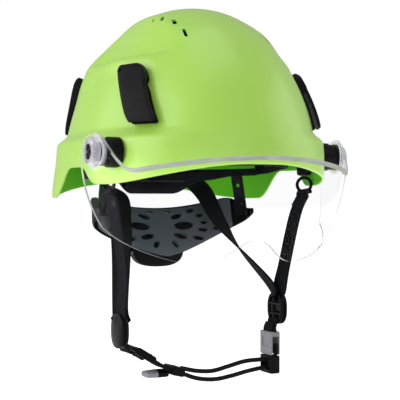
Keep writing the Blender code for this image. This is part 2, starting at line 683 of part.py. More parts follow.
def make_buckle():
    y = CHIN_Y
    x = BUCKLE_X
    top = -161.0
    socket = block("buckle_female", (x, y, (top + BUCKLE_MOUTH_Z) / 2),
                   (10.5, 21, top - BUCKLE_MOUTH_Z), "grey_plastic")
    room = block("buckle_room_cutter", (x, y, BUCKLE_MOUTH_Z + 7), (7.3, 40, 20),
                 "grey_plastic", bevel=0)
    cut(socket, room)
    path = [Vector((80.0, y, -156.2)), Vector((77.0, y, -158.0)), Vector((74.0, y, -159.6))]
    ribbon("buckle_link", path, (0, 1, 0), 15, WEBBING_THICKNESS, "black_webbing")
    block("buckle_male", (x, y, BUCKLE_MOUTH_Z - 9), (10.5, 21, 16.4), "black_plastic", HINGE_POINT)
    block("buckle_guide", (x + 0.5, y, BUCKLE_MOUTH_Z + 4.6), (2.4, 4.5, 10), "black_plastic",
          HINGE_POINT, bevel=0.4)
    for side, word in ((-1, "front"), (1, "rear")):
        block("buckle_button_" + word, (x + 0.5, y + side * 8.6, BUCKLE_MOUTH_Z + 5.2),
              (2.6, 4.4, 11), "black_plastic", bevel=0.5)


make_shell()
make_liner()
make_lamp_clips()
make_visor()
make_visor_pivots()
make_headband()
make_crown()
make_nape()
make_size_adjuster()
make_side_straps()
make_chin_webbing()
make_cords()
make_buckle()
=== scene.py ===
"""Looks of the forestry helmet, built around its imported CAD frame.

The helpers work in millimetres and store metres. +Z is up, the forehead faces -Y,
the wearer's right is -X, and the origin is the middle of the head opening at the
height of the visor's pivots.
"""
from math import asin, atan2, copysign, cos, degrees as in_degrees, exp, hypot, pi, radians, sin, sqrt

import bmesh
import bpy
from mathutils import Matrix, Vector


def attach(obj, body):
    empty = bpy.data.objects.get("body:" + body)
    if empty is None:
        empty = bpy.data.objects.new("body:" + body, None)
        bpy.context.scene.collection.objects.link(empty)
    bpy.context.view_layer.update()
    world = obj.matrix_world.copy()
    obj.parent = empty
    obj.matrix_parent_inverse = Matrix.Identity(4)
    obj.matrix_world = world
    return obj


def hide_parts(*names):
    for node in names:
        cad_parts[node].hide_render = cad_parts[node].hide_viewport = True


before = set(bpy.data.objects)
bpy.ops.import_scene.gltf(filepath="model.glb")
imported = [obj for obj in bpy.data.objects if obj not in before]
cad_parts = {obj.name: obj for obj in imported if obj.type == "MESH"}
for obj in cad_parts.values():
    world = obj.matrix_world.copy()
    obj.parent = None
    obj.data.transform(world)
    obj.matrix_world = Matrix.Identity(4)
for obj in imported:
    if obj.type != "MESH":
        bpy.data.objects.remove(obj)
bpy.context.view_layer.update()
scene = bpy.context.scene

MM = 0.001
GAP = 0.35
X, Y, Z = Vector((1, 0, 0)), Vector((0, 1, 0)), Vector((0, 0, 1))
SIDES = ((-1, "right"), (1, "left"))

# ---- the CAD frame's own dimensions, millimetres and degrees
SHELL_HALF_WIDTH = 103.6
SHELL_FRONT = 138.8
SHELL_REAR = 134.2
SHELL_HEIGHT = 134.6
SHELL_WALL = 2.6
FRONT_ROUNDNESS = 2.12
REAR_ROUNDNESS = 2.42
DOME_RISE = 1.61
DOME_FULLNESS = 2.24
BAND_DEPTH = 7.4
BAND_TOP = 20.0
BAND_FULL = 11.0
# angle from the forehead, height, slot length and width, and its turn off the fore-and-aft line
VENTS = ((62, 118.5, 4.5, 2.6, 48), (50, 118.5, 9, 3.4, 44), (36.6, 113.5, 10.5, 3.8, 22),
         (28.4, 101.6, 13, 2.8, 24))

PIVOT_Y = -67.0
VISOR_X = 120.0
VISOR_THICKNESS = 2.2
VISOR_CENTRE_Y = -60.0
VISOR_REACH = 88.0
HUB_RADIUS = 12.3
PIN_RADIUS = 6.4
PIVOT_BASE_RADIUS = 11.4

RING_CENTRE_Y = -15.0
RING_HALF_WIDTH = 75.0
RING_HALF_LENGTH = 100.0
# plan of the nape cradle's inner face, from the middle of the back to a wing's tip
NAPE_PLAN = ((0, 54.7), (30, 54.3), (56, 50.5), (70, 43), (77.5, 33), (79, 18), (75, 7), (66, -2))
NAPE_MIDDLE_Z = -69.5
NAPE_LEAN = 0.5
KNOB_CENTRE = Vector((0.0, 76.0, -82.0))
KNOB_RADIUS = 21.0

WEBBING_WIDTH = 20.0
WEBBING_THICKNESS = 1.6
CHIN_Y = -27.0
SLIDER_RIGHT = Vector((-79.0, CHIN_Y, -152.0))
SLIDER_LEFT = Vector((81.0, CHIN_Y, -140.0))
HINGE_POINT = Vector((-76.0, CHIN_Y, -166.0))
STRAP_ANCHOR_X = 97.6
STRAP_ANCHOR_Y = -47.0
BUCKLE_X = 73.0
BUCKLE_TOP_Z = -161.0
BUCKLE_MOUTH_Z = -182.5
CORD_DIAMETER = 4.0
UPPER_CORD = ((-20.2, -188.6), (-4, -192.4), (12, -193.6), (28, -190.8), (46, -187.4), (67, -187.0))
LOWER_CORD = ((-20.2, -193.0), (-4, -199.0), (14, -201.4), (32, -199.6), (48, -196.8), (67, -194.4))

# ---- camera
camera_data = bpy.data.cameras.new("camera")
camera_data.lens = 92.0
camera_data.sensor_width = 36.0
camera = bpy.data.objects.new("camera", camera_data)
camera.location = (-0.42906, -0.83928, -0.03822)
camera.rotation_euler = Vector((0.46645, 0.88455, -0.00104)).to_track_quat("-Z", "Y").to_euler()
scene.collection.objects.link(camera)
scene.camera = camera


# ---- materials
class Look:
    """A Principled material, with short ways to feed it from procedural nodes."""

    def __init__(self, name, slot, colour, roughness, **sockets):
        self.slot = slot
        self.material = bpy.data.materials.new(name)
        self.material.use_nodes = True
        self.tree = self.material.node_tree
        self.shader = self.tree.nodes["Principled BSDF"]
        self.shader.inputs["Base Color"].default_value = (*colour, 1)
        self.shader.inputs["Roughness"].default_value = roughness
        for socket, value in sockets.items():
            self.shader.inputs[socket.replace("_", " ")].default_value = value
        self.bumped = None

    def node(self, kind, settings=(), **inputs):
        made = self.tree.nodes.new("ShaderNode" + kind)
        for setting, value in dict(settings).items():
            setattr(made, setting, value)
        for socket, value in inputs.items():
            target = made.inputs[socket.replace("_", " ")]
            if isinstance(value, bpy.types.NodeSocket):
                self.tree.links.new(value, target)
            else:
                target.default_value = value
        return made

    def feed(self, value, socket):
        self.tree.links.new(value, self.shader.inputs[socket])

    def place(self, kind="Object", scale=(1, 1, 1)):
        coordinate = self.node("TexCoord").outputs[kind]
        return self.node("Mapping", Vector=coordinate, Scale=scale).outputs["Vector"]

    def noise(self, scale, detail, stretch=(1, 1, 1)):
        return self.node("TexNoise", Vector=self.place(scale=stretch), Scale=scale,
                         Detail=detail).outputs["Fac"]

    def spread(self, value, low, high, start=0.35, stop=0.65):
        return self.node("MapRange", Value=value, From_Min=start, From_Max=stop, To_Min=low,
                         To_Max=high).outputs["Result"]

    def tint(self, value, dark, light):
        mixed = self.node("Mix", {"data_type": "RGBA"}, Factor=value)
        mixed.inputs[6].default_value = (*dark, 1)
        mixed.inputs[7].default_value = (*light, 1)
        self.feed(mixed.outputs[2], "Base Color")

    def bump(self, height, distance, strength=1.0):
        made = self.node("Bump", Height=height, Distance=distance, Strength=strength)
        if self.bumped is not None:
            self.tree.links.new(self.bumped, made.inputs["Normal"])
        self.bumped = made.outputs["Normal"]
        self.feed(self.bumped, "Normal")

    def mottle(self, scale, detail, dark, light, stretch=(1, 1, 1)):
        """Colour that drifts between two tones."""
        self.tint(self.spread(self.noise(scale, detail, stretch), 0, 1), dark, light)

    def dull(self, scale, detail, low, high):
        """Roughness that drifts between two values."""
        self.feed(self.spread(self.noise(scale, detail), low, high), "Roughness")

    def grain(self, scale, distance, strength=1.0, detail=2):
        self.bump(self.noise(scale, detail), distance, strength)


def shell_look():
    look = Look("hi_viz_green_shell", "hi_viz_shell", (0.42, 0.73, 0.10), 0.38,
                Coat_Weight=0.45, Coat_Roughness=0.25)
    look.mottle(7, 2, (0.405, 0.715, 0.088), (0.435, 0.745, 0.106))
    look.dull(160, 4, 0.34, 0.42)
    look.grain(2600, 0.00002, 0.5)
    return look


def shell_inside_look():
    """The uncoated inner face, painted a deeper, more saturated green: painted glow that stands for light
    coming through the thin moulding and bouncing round inside the shell.
    """
    # painted glow: these saturated greens stand for light shining through the thin shell and bouncing inside
    # it
    look = Look("hi_viz_green_inside", "hi_viz_shell", (0.17, 0.78, 0.02), 0.55, Specular_IOR_Level=0.1)
    look.mottle(9, 2, (0.15, 0.74, 0.018), (0.19, 0.82, 0.024))
    look.grain(1800, 0.00003)
    return look


def foam_look():
    """Bead foam, darker where the beads meet."""
    look = Look("liner_beads", "liner_foam", (0.02, 0.02, 0.023), 0.8)
    cells = look.node("TexVoronoi", {"feature": "DISTANCE_TO_EDGE"}, Vector=look.place(), Scale=320)
    beads = look.spread(cells.outputs["Distance"], 0, 1, 0.0, 0.25)
    look.tint(beads, (0.008, 0.008, 0.009), (0.026, 0.026, 0.029))
    look.bump(beads, 0.0003)
    return look


def clear_look():
    """Clear sheet that turns milky towards the visor's two pivots."""
    look = Look("clear_polycarbonate", "clear_visor", (0.985, 0.985, 0.99), 0.015,
                Transmission_Weight=1.0, IOR=1.06)
    position = look.node("SeparateXYZ", Vector=look.place()).outputs
    flat = look.node("CombineXYZ", Y=position["Y"], Z=position["Z"]).outputs["Vector"]
    pivot = look.node("VectorMath", {"operation": "DISTANCE"})
    look.tree.links.new(flat, pivot.inputs[0])
    pivot.inputs[1].default_value = (0, PIVOT_Y * MM, 0)
    frost = look.spread(pivot.outputs["Value"], 1, 0, 0.0125, 0.0165)
    look.feed(look.spread(frost, 0.012, 0.16, 0, 1), "Roughness")
    look.tint(frost, (0.970, 0.970, 0.976), (0.80, 0.78, 0.86))
    look.feed(look.spread(frost, 1.0, 0.72, 0, 1), "Transmission Weight")
    return look


def edge_look():
    """Sawn and polished edges of the clear sheet, which gather light."""
    look = Look("visor_cut_edge", "clear_visor", (0.82, 0.82, 0.86), 0.4, Transmission_Weight=0.55,
                IOR=1.33)
    look.dull(400, 3, 0.32, 0.5)
    return look


def hub_look():
    """Natural, slightly lilac translucent polycarbonate."""
    look = Look("translucent_hub", "clear_visor", (0.68, 0.67, 0.74), 0.22, Transmission_Weight=0.6,
                IOR=1.35)
    look.mottle(120, 3, (0.60, 0.59, 0.66), (0.74, 0.73, 0.80))
    look.dull(300, 3, 0.16, 0.30)
    return look


def milky_look():
    # Milky grey rubber; the green tint in its colours is painted light, the green shell showing through the
    # strip.
    look = Look("milky_seal_rubber", "milky_seal", (0.58, 0.62, 0.56), 0.45, Transmission_Weight=0.25,
                IOR=1.35)
    look.mottle(70, 3, (0.52, 0.57, 0.48), (0.66, 0.68, 0.66), (1, 1, 4))
    look.grain(900, 0.00003)
    return look


def moulded_look(name, slot, dark, light, roughness, shine=0.3):
    """Moulded plastic: a spark-eroded grain, and slightly uneven colour and gloss."""
    look = Look(name, slot, dark, roughness, Specular_IOR_Level=shine, IOR=1.25)
    look.mottle(45, 3, dark, light)
    look.dull(420, 3, roughness - 0.05, roughness + 0.08)
    look.grain(1500, 0.00004)
    return look


def pad_look():
    """Soft EVA foam with a fine, slightly open skin."""
    dark, light = (0.095, 0.115, 0.135), (0.120, 0.140, 0.160)
    look = Look("slate_eva_pad", "slate_pad", dark, 0.82, Sheen_Weight=0.08, Sheen_Roughness=0.5,
                Specular_IOR_Level=0.2)
    look.mottle(26, 3, dark, light)
    pores = look.node("TexVoronoi", Vector=look.place(), Scale=900)
    look.bump(look.spread(pores.outputs["Distance"], 0, 1, 0.1, 0.6), 0.00008)
    look.dull(300, 2, 0.74, 0.9)
    return look


def knit_look():
    """Brushed knit over foam."""
    dark, light = (0.006, 0.006, 0.008), (0.012, 0.012, 0.015)
    look = Look("black_knit_pad", "slate_pad", dark, 0.95, Sheen_Weight=0.03, Sheen_Roughness=0.6,
                Specular_IOR_Level=0.1)
    rib = look.node("TexWave", {"bands_direction": "Z"}, Vector=look.place(), Scale=300, Distortion=1.2,
                    Detail=1.0)
    mesh = look.node("TexVoronoi", Vector=look.place(scale=(1, 1, 0.6)), Scale=700)
    look.mottle(90, 4, dark, light)
    look.bump(rib.outputs["Fac"], 0.00008, 0.6)
    look.bump(mesh.outputs["Distance"], 0.00012)
    return look


def weave_look(name, slot, dark, light, row=1.05, rib=1.9, depth=0.00016):
    """Woven webbing: the UV map is in millimetres, across and along the strap."""
    look = Look(name, slot, dark, 0.9, Sheen_Weight=0.02, Sheen_Roughness=0.45, Specular_IOR_Level=0.08)
    threads = look.node("TexBrick", {"offset": 0.5, "squash": 1.0}, Vector=look.place("UV"), Scale=1.0,
                        Color1=(1, 1, 1, 1), Color2=(0.72, 0.72, 0.72, 1), Mortar=(0, 0, 0, 1),
                        Mortar_Size=0.16, Mortar_Smooth=1.0, Brick_Width=rib, Row_Height=row)
    twill = look.node("TexWave", {"bands_direction": "DIAGONAL"}, Vector=look.place("UV"), Scale=0.42,
                      Distortion=0.4, Detail=1.0)
    look.tint(look.spread(threads.outputs["Color"], 0, 1, 0.0, 1.0), dark, light)
    look.bump(threads.outputs["Color"], depth)
    look.bump(twill.outputs["Fac"], depth * 0.7)
    look.dull(500, 3, 0.78, 0.95)
    return look


def thread_look():
    look = Look("bar_tack_thread", "black_webbing", (0.05, 0.05, 0.06), 0.7, Sheen_Weight=0.5)
    look.grain(2500, 0.00006)
    return look


SHELL = shell_look()
SHELL_INSIDE = shell_inside_look()
FOAM = foam_look()
CLEAR = clear_look()
EDGE = edge_look()
HUB = hub_look()
MILKY = milky_look()
BLACK = moulded_look("satin_black_plastic", "black_plastic", (0.003, 0.003, 0.0035),
                     (0.006, 0.006, 0.007), 0.38)
GLOSS = moulded_look("gloss_black_plastic", "black_plastic", (0.003, 0.003, 0.004),
                     (0.006, 0.006, 0.008), 0.26, 0.35)
HARNESS = moulded_look("harness_plastic", "harness_plastic", (0.005, 0.0055, 0.009),
                       (0.009, 0.010, 0.015), 0.42)
GREY = moulded_look("grey_plastic", "grey_plastic", (0.24, 0.235, 0.26), (0.29, 0.285, 0.32), 0.42, 0.8)
SLATE = pad_look()
CUSHION = knit_look()
WEBBING = weave_look("black_webbing", "black_webbing", (0.003, 0.003, 0.005), (0.011, 0.011, 0.016))
ELASTIC = weave_look("braided_elastic", "black_elastic", (0.005, 0.005, 0.006), (0.018, 0.018, 0.020),
                     0.8, 1.2, 0.0001)
THREAD = thread_look()


# ---- mesh helpers
def smoothstep(value, low, high):
    u = min(1.0, max(0.0, (value - low) / (high - low)))
    return u * u * (3 - 2 * u)


def skin(loops, ring=False, around=None):
    """Vertices, faces and corner UVs, in millimetres, of a surface through equal loops."""
    count = len(loops[0])
    centres = [sum((Vector(p) for p in loop), Vector()) / count for loop in loops]
    along = [0.0]
    for a, b in zip(centres, centres[1:] + centres[:1]):
        along.append(along[-1] + max((b - a).length, 0.01))
    around = around or [float(k) for k in range(count + 1)]
    faces, uvs = [], []
    for i in range(len(loops) if ring else len(loops) - 1):
        low, high = i * count, ((i + 1) % len(loops)) * count
        for k in range(count):
            n = (k + 1) % count
            faces.append((low + k, low + n, high + n, high + k))
            uvs.append(((around[k], along[i]), (around[k + 1], along[i]),
                        (around[k + 1], along[i + 1]), (around[k], along[i + 1])))
    if not ring:
        for i in (0, len(loops) - 1):
            faces.append(tuple(i * count + k for k in range(count)))
            uvs.append(tuple((around[k], along[i]) for k in range(count)))
    return [p for loop in loops for p in loop], faces, uvs


def shade(mesh, sharp):
    """Smooth shading, broken at edges sharper than so many degrees."""
    mesh.shade_smooth()
    mesh.set_sharp_from_angle(angle=radians(sharp))


def bare(name, shape, sharp=35, mapped=False):
    """An object with its mesh turned outwards and shaded, but riding on nothing yet."""
    verts, faces, uvs = shape
    mesh = bpy.data.meshes.new(name)
    mesh.from_pydata([Vector(v) * MM for v in verts], [], faces)
    if mapped:
        layer = mesh.uv_layers.new(name="strap")
        for corner, pair in zip(layer.data, [pair for face in uvs for pair in face]):
            corner.uv = pair
    work = bmesh.new()
    work.from_mesh(mesh)
    bmesh.ops.recalc_face_normals(work, faces=work.faces)
    work.to_mesh(mesh)
    work.free()
    shade(mesh, sharp)
    made = bpy.data.objects.new(name, mesh)
    scene.collection.objects.link(made)
    return made


def dress(obj, look, stands_for, body, edge=0.0):
    """Material, body and the CAD node it stands for, which it hides; edge rounds its corners by so many mm.
    """
    obj.data.materials.clear()
    obj.data.materials.append(look.material)
    if edge:
        rounding = obj.modifiers.new("edges", "BEVEL")
        rounding.width = edge * MM
        rounding.segments = 2
        rounding.limit_method = "ANGLE"
        rounding.angle_limit = radians(32)
        rounding.harden_normals = True
    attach(obj, body)
    if stands_for:
        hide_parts(stands_for)
    return obj


def piece(name, shape, look, stands_for=None, body="helmet", edge=0.0, sharp=35, cuts=(), crisp=None):
    """A finished piece; cuts are shapes taken out of it, and crisp shades it again after them."""
    made = bare(name, shape, sharp, mapped=not cuts)
    if cuts:
        carve(made, cuts)
    if crisp:
        shade(made.data, crisp)
    return dress(made, look, stands_for, body, edge)


def merge(*shapes):
    """Several (vertices, faces, uvs) shapes as one."""
    verts, faces, uvs = [], [], []
    for more_verts, more_faces, more_uvs in shapes:
        start = len(verts)
        verts += more_verts
        faces += [tuple(i + start for i in face) for face in more_faces]
        uvs += more_uvs
    return verts, faces, uvs


def carve(obj, shapes):
    """Cut shapes out of obj for good."""
    cutters = [bare("knife", shape) for shape in shapes]
    for cutter in cutters:
        knife = obj.modifiers.new("cut", "BOOLEAN")
        knife.operation = "DIFFERENCE"
        knife.object = cutter
    bake_modifiers(obj)
    for cutter in cutters:
        bpy.data.objects.remove(cutter)


def bake_modifiers(obj):
    """Make what the modifiers show into the mesh itself."""
    bpy.context.view_layer.update()
    graph = bpy.context.evaluated_depsgraph_get()
    result = bpy.data.meshes.new_from_object(obj.evaluated_get(graph))
    obj.modifiers.clear()
    obj.data = result


def ellipse(centre, across, up, half_w, half_h, sides, power=1.0):
    points = []
    for k in range(sides):
        turn = 2 * pi * (k + 0.5) / sides
        c, s = cos(turn), sin(turn)
        c = copysign(abs(c) ** power, c)
        s = copysign(abs(s) ** power, s)
        points.append(Vector(centre) + across * (c * half_w) + up * (s * half_h))
    return points


def turns(count):
    """Equal steps once round, in radians."""
    return [2 * pi * k / count for k in range(count)]


def lobed(centre, across, up, radii):
    """A loop round centre, with a radius for each of its equal steps."""
    return [Vector(centre) + (across * cos(turn) + up * sin(turn)) * radius
            for turn, radius in zip(turns(len(radii)), radii)]


def rounded(centre, across, up, half_w, half_h, radius, arc=4):
    """A rectangle with round corners."""
    radius = min(radius, half_w, half_h)
    points = []
    for corner, (sx, sy) in enumerate(((1, 1), (-1, 1), (-1, -1), (1, -1))):
        for k in range(arc + 1):
            turn = radians(90 * corner + 90 * k / arc)
            points.append(Vector(centre) + across * (sx * (half_w - radius) + radius * cos(turn))
                          + up * (sy * (half_h - radius) + radius * sin(turn)))
    return points


def pillow(centre, across, up, size, radius, corner, arc=4):
    """A moulded block: round corners in plan and a fillet of the given radius at both faces."""
    depth = across.cross(up).normalized()
    half_w, half_h, half_d = (s / 2 for s in size)
    loops = []
    for end in (-1, 1):
        for k in range(arc + 1):
            turn = pi / 2 * (k if end < 0 else arc - k) / arc
            shrink = radius * (1 - sin(turn))
            shift = end * (half_d - radius * (1 - cos(turn)))
            loops.append(rounded(Vector(centre) + depth * shift, across, up, half_w - shrink,
                                 half_h - shrink, max(0.3, corner - shrink), arc))
    return skin(loops)


def turned(centre, axis, profile, sides, bore=0.0):
    """A round shape from (distance along the axis, radius) pairs."""
    axis = Vector(axis).normalized()
    across = axis.orthogonal().normalized()
    up = axis.cross(across)
    centre = Vector(centre)
    outer = [ellipse(centre + axis * d, across, up, r, r, sides) for d, r in profile]
    if not bore:
        return skin(outer)
    inner = [ellipse(centre + axis * d, across, up, bore, bore, sides)
             for d in (profile[-1][0], profile[0][0])]
    return skin(outer + inner, ring=True)


def curve_through(points, steps):
    """Catmull-Rom points through a short list of places."""
    places = [Vector(p) for p in points]
    padded = [places[0] * 2 - places[1]] + places + [places[-1] * 2 - places[-2]]
    path = []
    for i in range(len(places) - 1):
        a, b, c, d = padded[i:i + 4]
        for k in range(steps):
            u = k / steps
            path.append(0.5 * (2 * b + (c - a) * u + (2 * a - 5 * b + 4 * c - d) * u ** 2
                               + (3 * b - a - 3 * c + d) * u ** 3))
    path.append(places[-1])
    return path


def strap(path, sides, width, thickness, selvage=0.25):
    """Webbing along a path. sides gives the width's direction, one for all or one for each point."""
    edge = thickness / 2
    outline = [(-0.5, 0), (-0.49, 0.7), (-0.46, 1 + selvage), (-0.40, 1.0), (-0.2, 0.94), (0, 0.92),
               (0.2, 0.94), (0.40, 1.0), (0.46, 1 + selvage), (0.49, 0.7), (0.5, 0)]
    outline += [(u, -h) for u, h in reversed(outline[1:-1])]
    around = [u * width for u, h in outline] + [outline[0][0] * width]
    loops = []
    for i, point in enumerate(path):
        ahead = (path[min(i + 1, len(path) - 1)] - path[max(i - 1, 0)]).normalized()
        across = Vector(sides[i] if isinstance(sides, list) else sides)
        across = (across - ahead * across.dot(ahead)).normalized()
        normal = ahead.cross(across)
        loops.append([point + across * (u * width) + normal * (h * edge) for u, h in outline])
    return skin(loops, around=around)


def tube(path, radius, sides, closed=False, up=None):
    """A round bar along a path; up keeps its section from turning."""
    loops, across = [], None
    for i, point in enumerate(path):
        if closed:
            ahead = (path[(i + 1) % len(path)] - path[i - 1]).normalized()
        else:
            ahead = (path[min(i + 1, len(path) - 1)] - path[max(i - 1, 0)]).normalized()
        across = Vector(up) if up is not None else (across or ahead.orthogonal())
        across = (across - ahead * across.dot(ahead)).normalized()
        loops.append(ellipse(point, across, ahead.cross(across), radius, radius, sides))
    around = [2 * pi * radius * k / sides for k in range(sides + 1)]
    return skin(loops, ring=closed, around=around)


def length_of(path):
    return sum((b - a).length for a, b in zip(path, path[1:]))


# ---- chin cords
def make_cords():
    for name, route in (("chin_cord_upper", UPPER_CORD), ("chin_cord_lower", LOWER_CORD)):
        path = curve_through([(x, CHIN_Y, z) for x, z in route], 8)
        made = piece(name + "_elastic", tube(path, CORD_DIAMETER / 2, 16, up=Y), ELASTIC, name, "chin_strap")
        length_of(path) * MM


make_cords()


# ---- shell
SHELL_COLUMNS = 240
SHELL_ANGLES = [360 * k / SHELL_COLUMNS - 180 for k in range(SHELL_COLUMNS)]
RIM_STEPS = 6
DOME_START_Z = 8.0


def shell_outline(angle, inset=0.0):
    """Radius of the shell's plan: two half superellipses, longer in front."""
    s, c = abs(sin(angle)), cos(angle)
    length = (SHELL_FRONT if c > 0 else SHELL_REAR) - inset
    power = FRONT_ROUNDNESS if c > 0 else REAR_ROUNDNESS
    width = SHELL_HALF_WIDTH - inset
    return ((s / width) ** power + (abs(c) / length) ** power) ** (-1 / power)


def rim_height(degrees):
    """Low peak corners, ear arches, deep rear lobes, a nape arch."""
    a = abs(degrees)
    z = -10.5 - 15.5 * smoothstep(a, 5, 62) + 15.0 * smoothstep(a, 70, 81)
    return z - 26.5 * smoothstep(a, 96, 116) + 16.5 * smoothstep(a, 125, 180)


def band_offset(degrees, z):
    """How far the lower band stands out, with a flare over the rear lobes."""
    a = abs(degrees)
    amount = BAND_DEPTH * smoothstep(a, 14, 42)
    flare = 4.0 * smoothstep(a, 98, 122) * smoothstep(-z, -5, 36)
    return (amount + flare) * (1 - smoothstep(z, BAND_FULL, BAND_TOP))


def crown_relief(x, y, z):
    """Side scallops above a crease, two raised ridges along the crown, and full rear haunches."""
    side = abs(x)
    length = smoothstep(y, -84, -60) * (1 - smoothstep(y, 5, 42))
    crease = 82.5 - 3.0 * smoothstep(y, -30, 40)
    scallop = 4.8 * min(1.0, max(0.0, (side - 45) / 20)) * smoothstep(z, crease, crease + 4) * length
    ridge = 1.4 * exp(-((side - 42) / 7) ** 2) * smoothstep(z, 84, 100)
    ledge = 1.9 * exp(-((z - crease + 5) / 6) ** 2) * smoothstep(side, 50, 68) * length
    haunch = 4.4 * exp(-((z - 76) / 20) ** 2) * smoothstep(side, 45, 75) * smoothstep(y, 5, 42)
    return ridge + ledge + haunch - scallop


def panel_relief(degrees, z):
    """The side panels with the lamp clips lie a little under the forehead and the nape."""
    a = abs(degrees)
    front = 36 + 0.21 * (z - 26)
    inside = smoothstep(a, front - 1.0, front + 1.0) * (1 - smoothstep(a, 151, 154))
    return -1.1 * inside * smoothstep(z, 19, 22) * (1 - smoothstep(z, 74, 80))


def shell_point(degrees, z, inset=0.0, relief=1.0, panel=1.0):
    """A place on the shell, by its angle off the forehead and its height."""
    angle = radians(degrees)
    height = SHELL_HEIGHT - inset
    radius = shell_outline(angle, inset)
    if z > 0:
        radius *= max(0.0, 1 - (z / height) ** DOME_RISE) ** (1 / DOME_FULLNESS)
    radius += band_offset(degrees, z)
    point = Vector((radius * sin(angle), -radius * cos(angle), z))
    outward = (point - Vector((0, 0, 30))).normalized()
    amount = relief * crown_relief(point.x, point.y, point.z) + panel * panel_relief(degrees, z)
    return point + outward * amount


def shell_frame(degrees, z):
    """A point on the outer face, with its outward normal."""
    point = shell_point(degrees, z, panel=0.0)
    along = shell_point(degrees + 0.5, z, panel=0.0) - shell_point(degrees - 0.5, z, panel=0.0)
    rise = shell_point(degrees, z + 0.5, panel=0.0) - shell_point(degrees, z - 0.5, panel=0.0)
    return point, along.cross(rise).normalized()


def shell_layer(inset, rows_low, rows_high):
    """Rings from just above the rim to a small ring round the crown."""
    rings = []
    for k in range(rows_low):
        share = k / rows_low
        rings.append([shell_point(a, (rim_height(a) + SHELL_WALL / 2) * (1 - share) + DOME_START_Z * share,
                                  inset) for a in SHELL_ANGLES])
    start = asin(DOME_START_Z / SHELL_HEIGHT)
    for k in range(rows_high):
        z = (SHELL_HEIGHT - inset) * sin(start + (radians(89.7) - start) * k / (rows_high - 1))
        rings.append([shell_point(a, z, inset) for a in SHELL_ANGLES])
    return rings


def rim_lip():
    """Rings round the rolled edge, from the inner face to the outer one."""
    half = SHELL_WALL / 2
    rings = []
    for k in range(1, RIM_STEPS):
        turn = pi * k / RIM_STEPS
        rings.append([shell_point(a, rim_height(a) + half - half * sin(turn), half * (1 + cos(turn)))
                      for a in SHELL_ANGLES])
    return rings


def vent_frames():
    """Centre, outward normal, fore direction, length and width of each vent."""
    for degrees, z, length, width, turn in VENTS:
        for side in (-1, 1):
            point, normal = shell_frame(side * degrees, z)
            fore = -Y - normal * (-Y).dot(normal)
            fore = Matrix.Rotation(radians(side * turn), 3, normal) @ fore.normalized()
            yield point, normal, fore, length, width


def sink_vents(rings):
    """Press a shallow dish round each vent into the outer face."""
    vents = [(p, n, f, n.cross(f), length / 2) for p, n, f, length, _ in vent_frames()]
    for ring in rings:
        if ring[0].z < 80:
            continue
        for spot in ring:
            for point, normal, fore, across, half in vents:
                offset = spot - point
                if offset.length < 16:
                    reach = hypot(max(0.0, abs(offset.dot(fore)) - half), offset.dot(across))
                    spot -= normal * (0.8 * exp(-(reach / 2.6) ** 2))


def make_shell():
    outer, inner = shell_layer(0.0, 24, 92), shell_layer(SHELL_WALL, 10, 36)
    sink_vents(outer)
    vents = []
    for point, normal, fore, length, width in vent_frames():
        across = normal.cross(fore)
        vents.append(skin([rounded(point + normal * d, fore, across, length / 2, width / 2, 1.2, 3)
                           for d in (-9, 6)]))
    shell = piece("shell_skin", skin(inner[::-1] + rim_lip() + outer), SHELL, "outer_shell",
                  cuts=[merge(*vents)], crisp=50)
    shell.data.materials.append(SHELL_INSIDE.material)
    for face in shell.data.polygons:
        face.material_index = int(face.normal.dot(face.center - Z * 0.02) < 0)


make_shell()


# ---- liner
LINER_RIM_Z = 20.0
LINER_ANGLES = SHELL_ANGLES[::2]
CHANNELS_X = (-38, 0, 38)


def liner_layer(inset, rows):
    rings = []
    for k in range(rows):
        rise = (SHELL_HEIGHT - inset) * 0.9995 - LINER_RIM_Z
        z = LINER_RIM_Z + rise * sin(radians(88.5) * k / (rows - 1))
        rings.append([shell_point(a, z, inset, 0.0, 0.0) for a in LINER_ANGLES])
    return rings


def make_liner():
    """A bead-foam dome with three fore-and-aft channels on its inner face."""
    inner, outer = liner_layer(16.0, 30), liner_layer(8.5, 16)
    for spot in [spot for ring in inner for spot in ring]:
        depth = max(exp(-((spot.x - x) / 5.5) ** 4) for x in CHANNELS_X)
        spot += spot.normalized() * (3.0 * depth * smoothstep(spot.z, 34, 44))
    piece("liner_foam_dome", skin(inner[::-1] + outer), FOAM, "impact_liner", edge=1.0, sharp=50)


make_liner()


# ---- lamp clips
CLIP_LOW, CLIP_HIGH, CLIP_NOTCH = 22.5, 73.5, 57.5
CLIP_ACROSS = 28


def clip_profile():
    """(height, distance off the shell) round the hook's section: plate, bend, tongue, gap."""
    profile = [(CLIP_LOW + 3.5 * k, 0.7) for k in range(13)]
    for k in range(5):
        turn = pi / 2 * k / 4
        profile.append((CLIP_HIGH - 4.0 + 4.0 * sin(turn), 4.3 - 3.6 * cos(turn)))
    for k in range(1, 5):
        turn = pi / 2 * k / 4
        profile.append((CLIP_HIGH - 4.0 + 4.0 * cos(turn), 4.3 + 3.6 * sin(turn)))
    profile += [(z, 7.9) for z in (66, 62, 58, 53, 48, 43, 38, 33, 29)]
    profile += [(CLIP_LOW + 1.6, 7.7), (CLIP_LOW + 0.4, 7.2), (CLIP_LOW, 6.5), (CLIP_LOW + 0.4, 5.6)]
    profile += [(z, 5.2) for z in (27, 33, 39, 45, 51, 56)]
    profile += [(57.4, 4.6), (57.8, 3.8), (57.4, 3.0)]
    profile += [(z, 2.4) for z in (56, 51, 45, 39, 33, 27, CLIP_LOW)]
    return profile


def clip_half_width(rise, z, far_side):
    half = 13.0 + 3.4 * rise
    return half + (4.2 * smoothstep(z, CLIP_NOTCH, CLIP_NOTCH + 1.2) if far_side else 0.0)


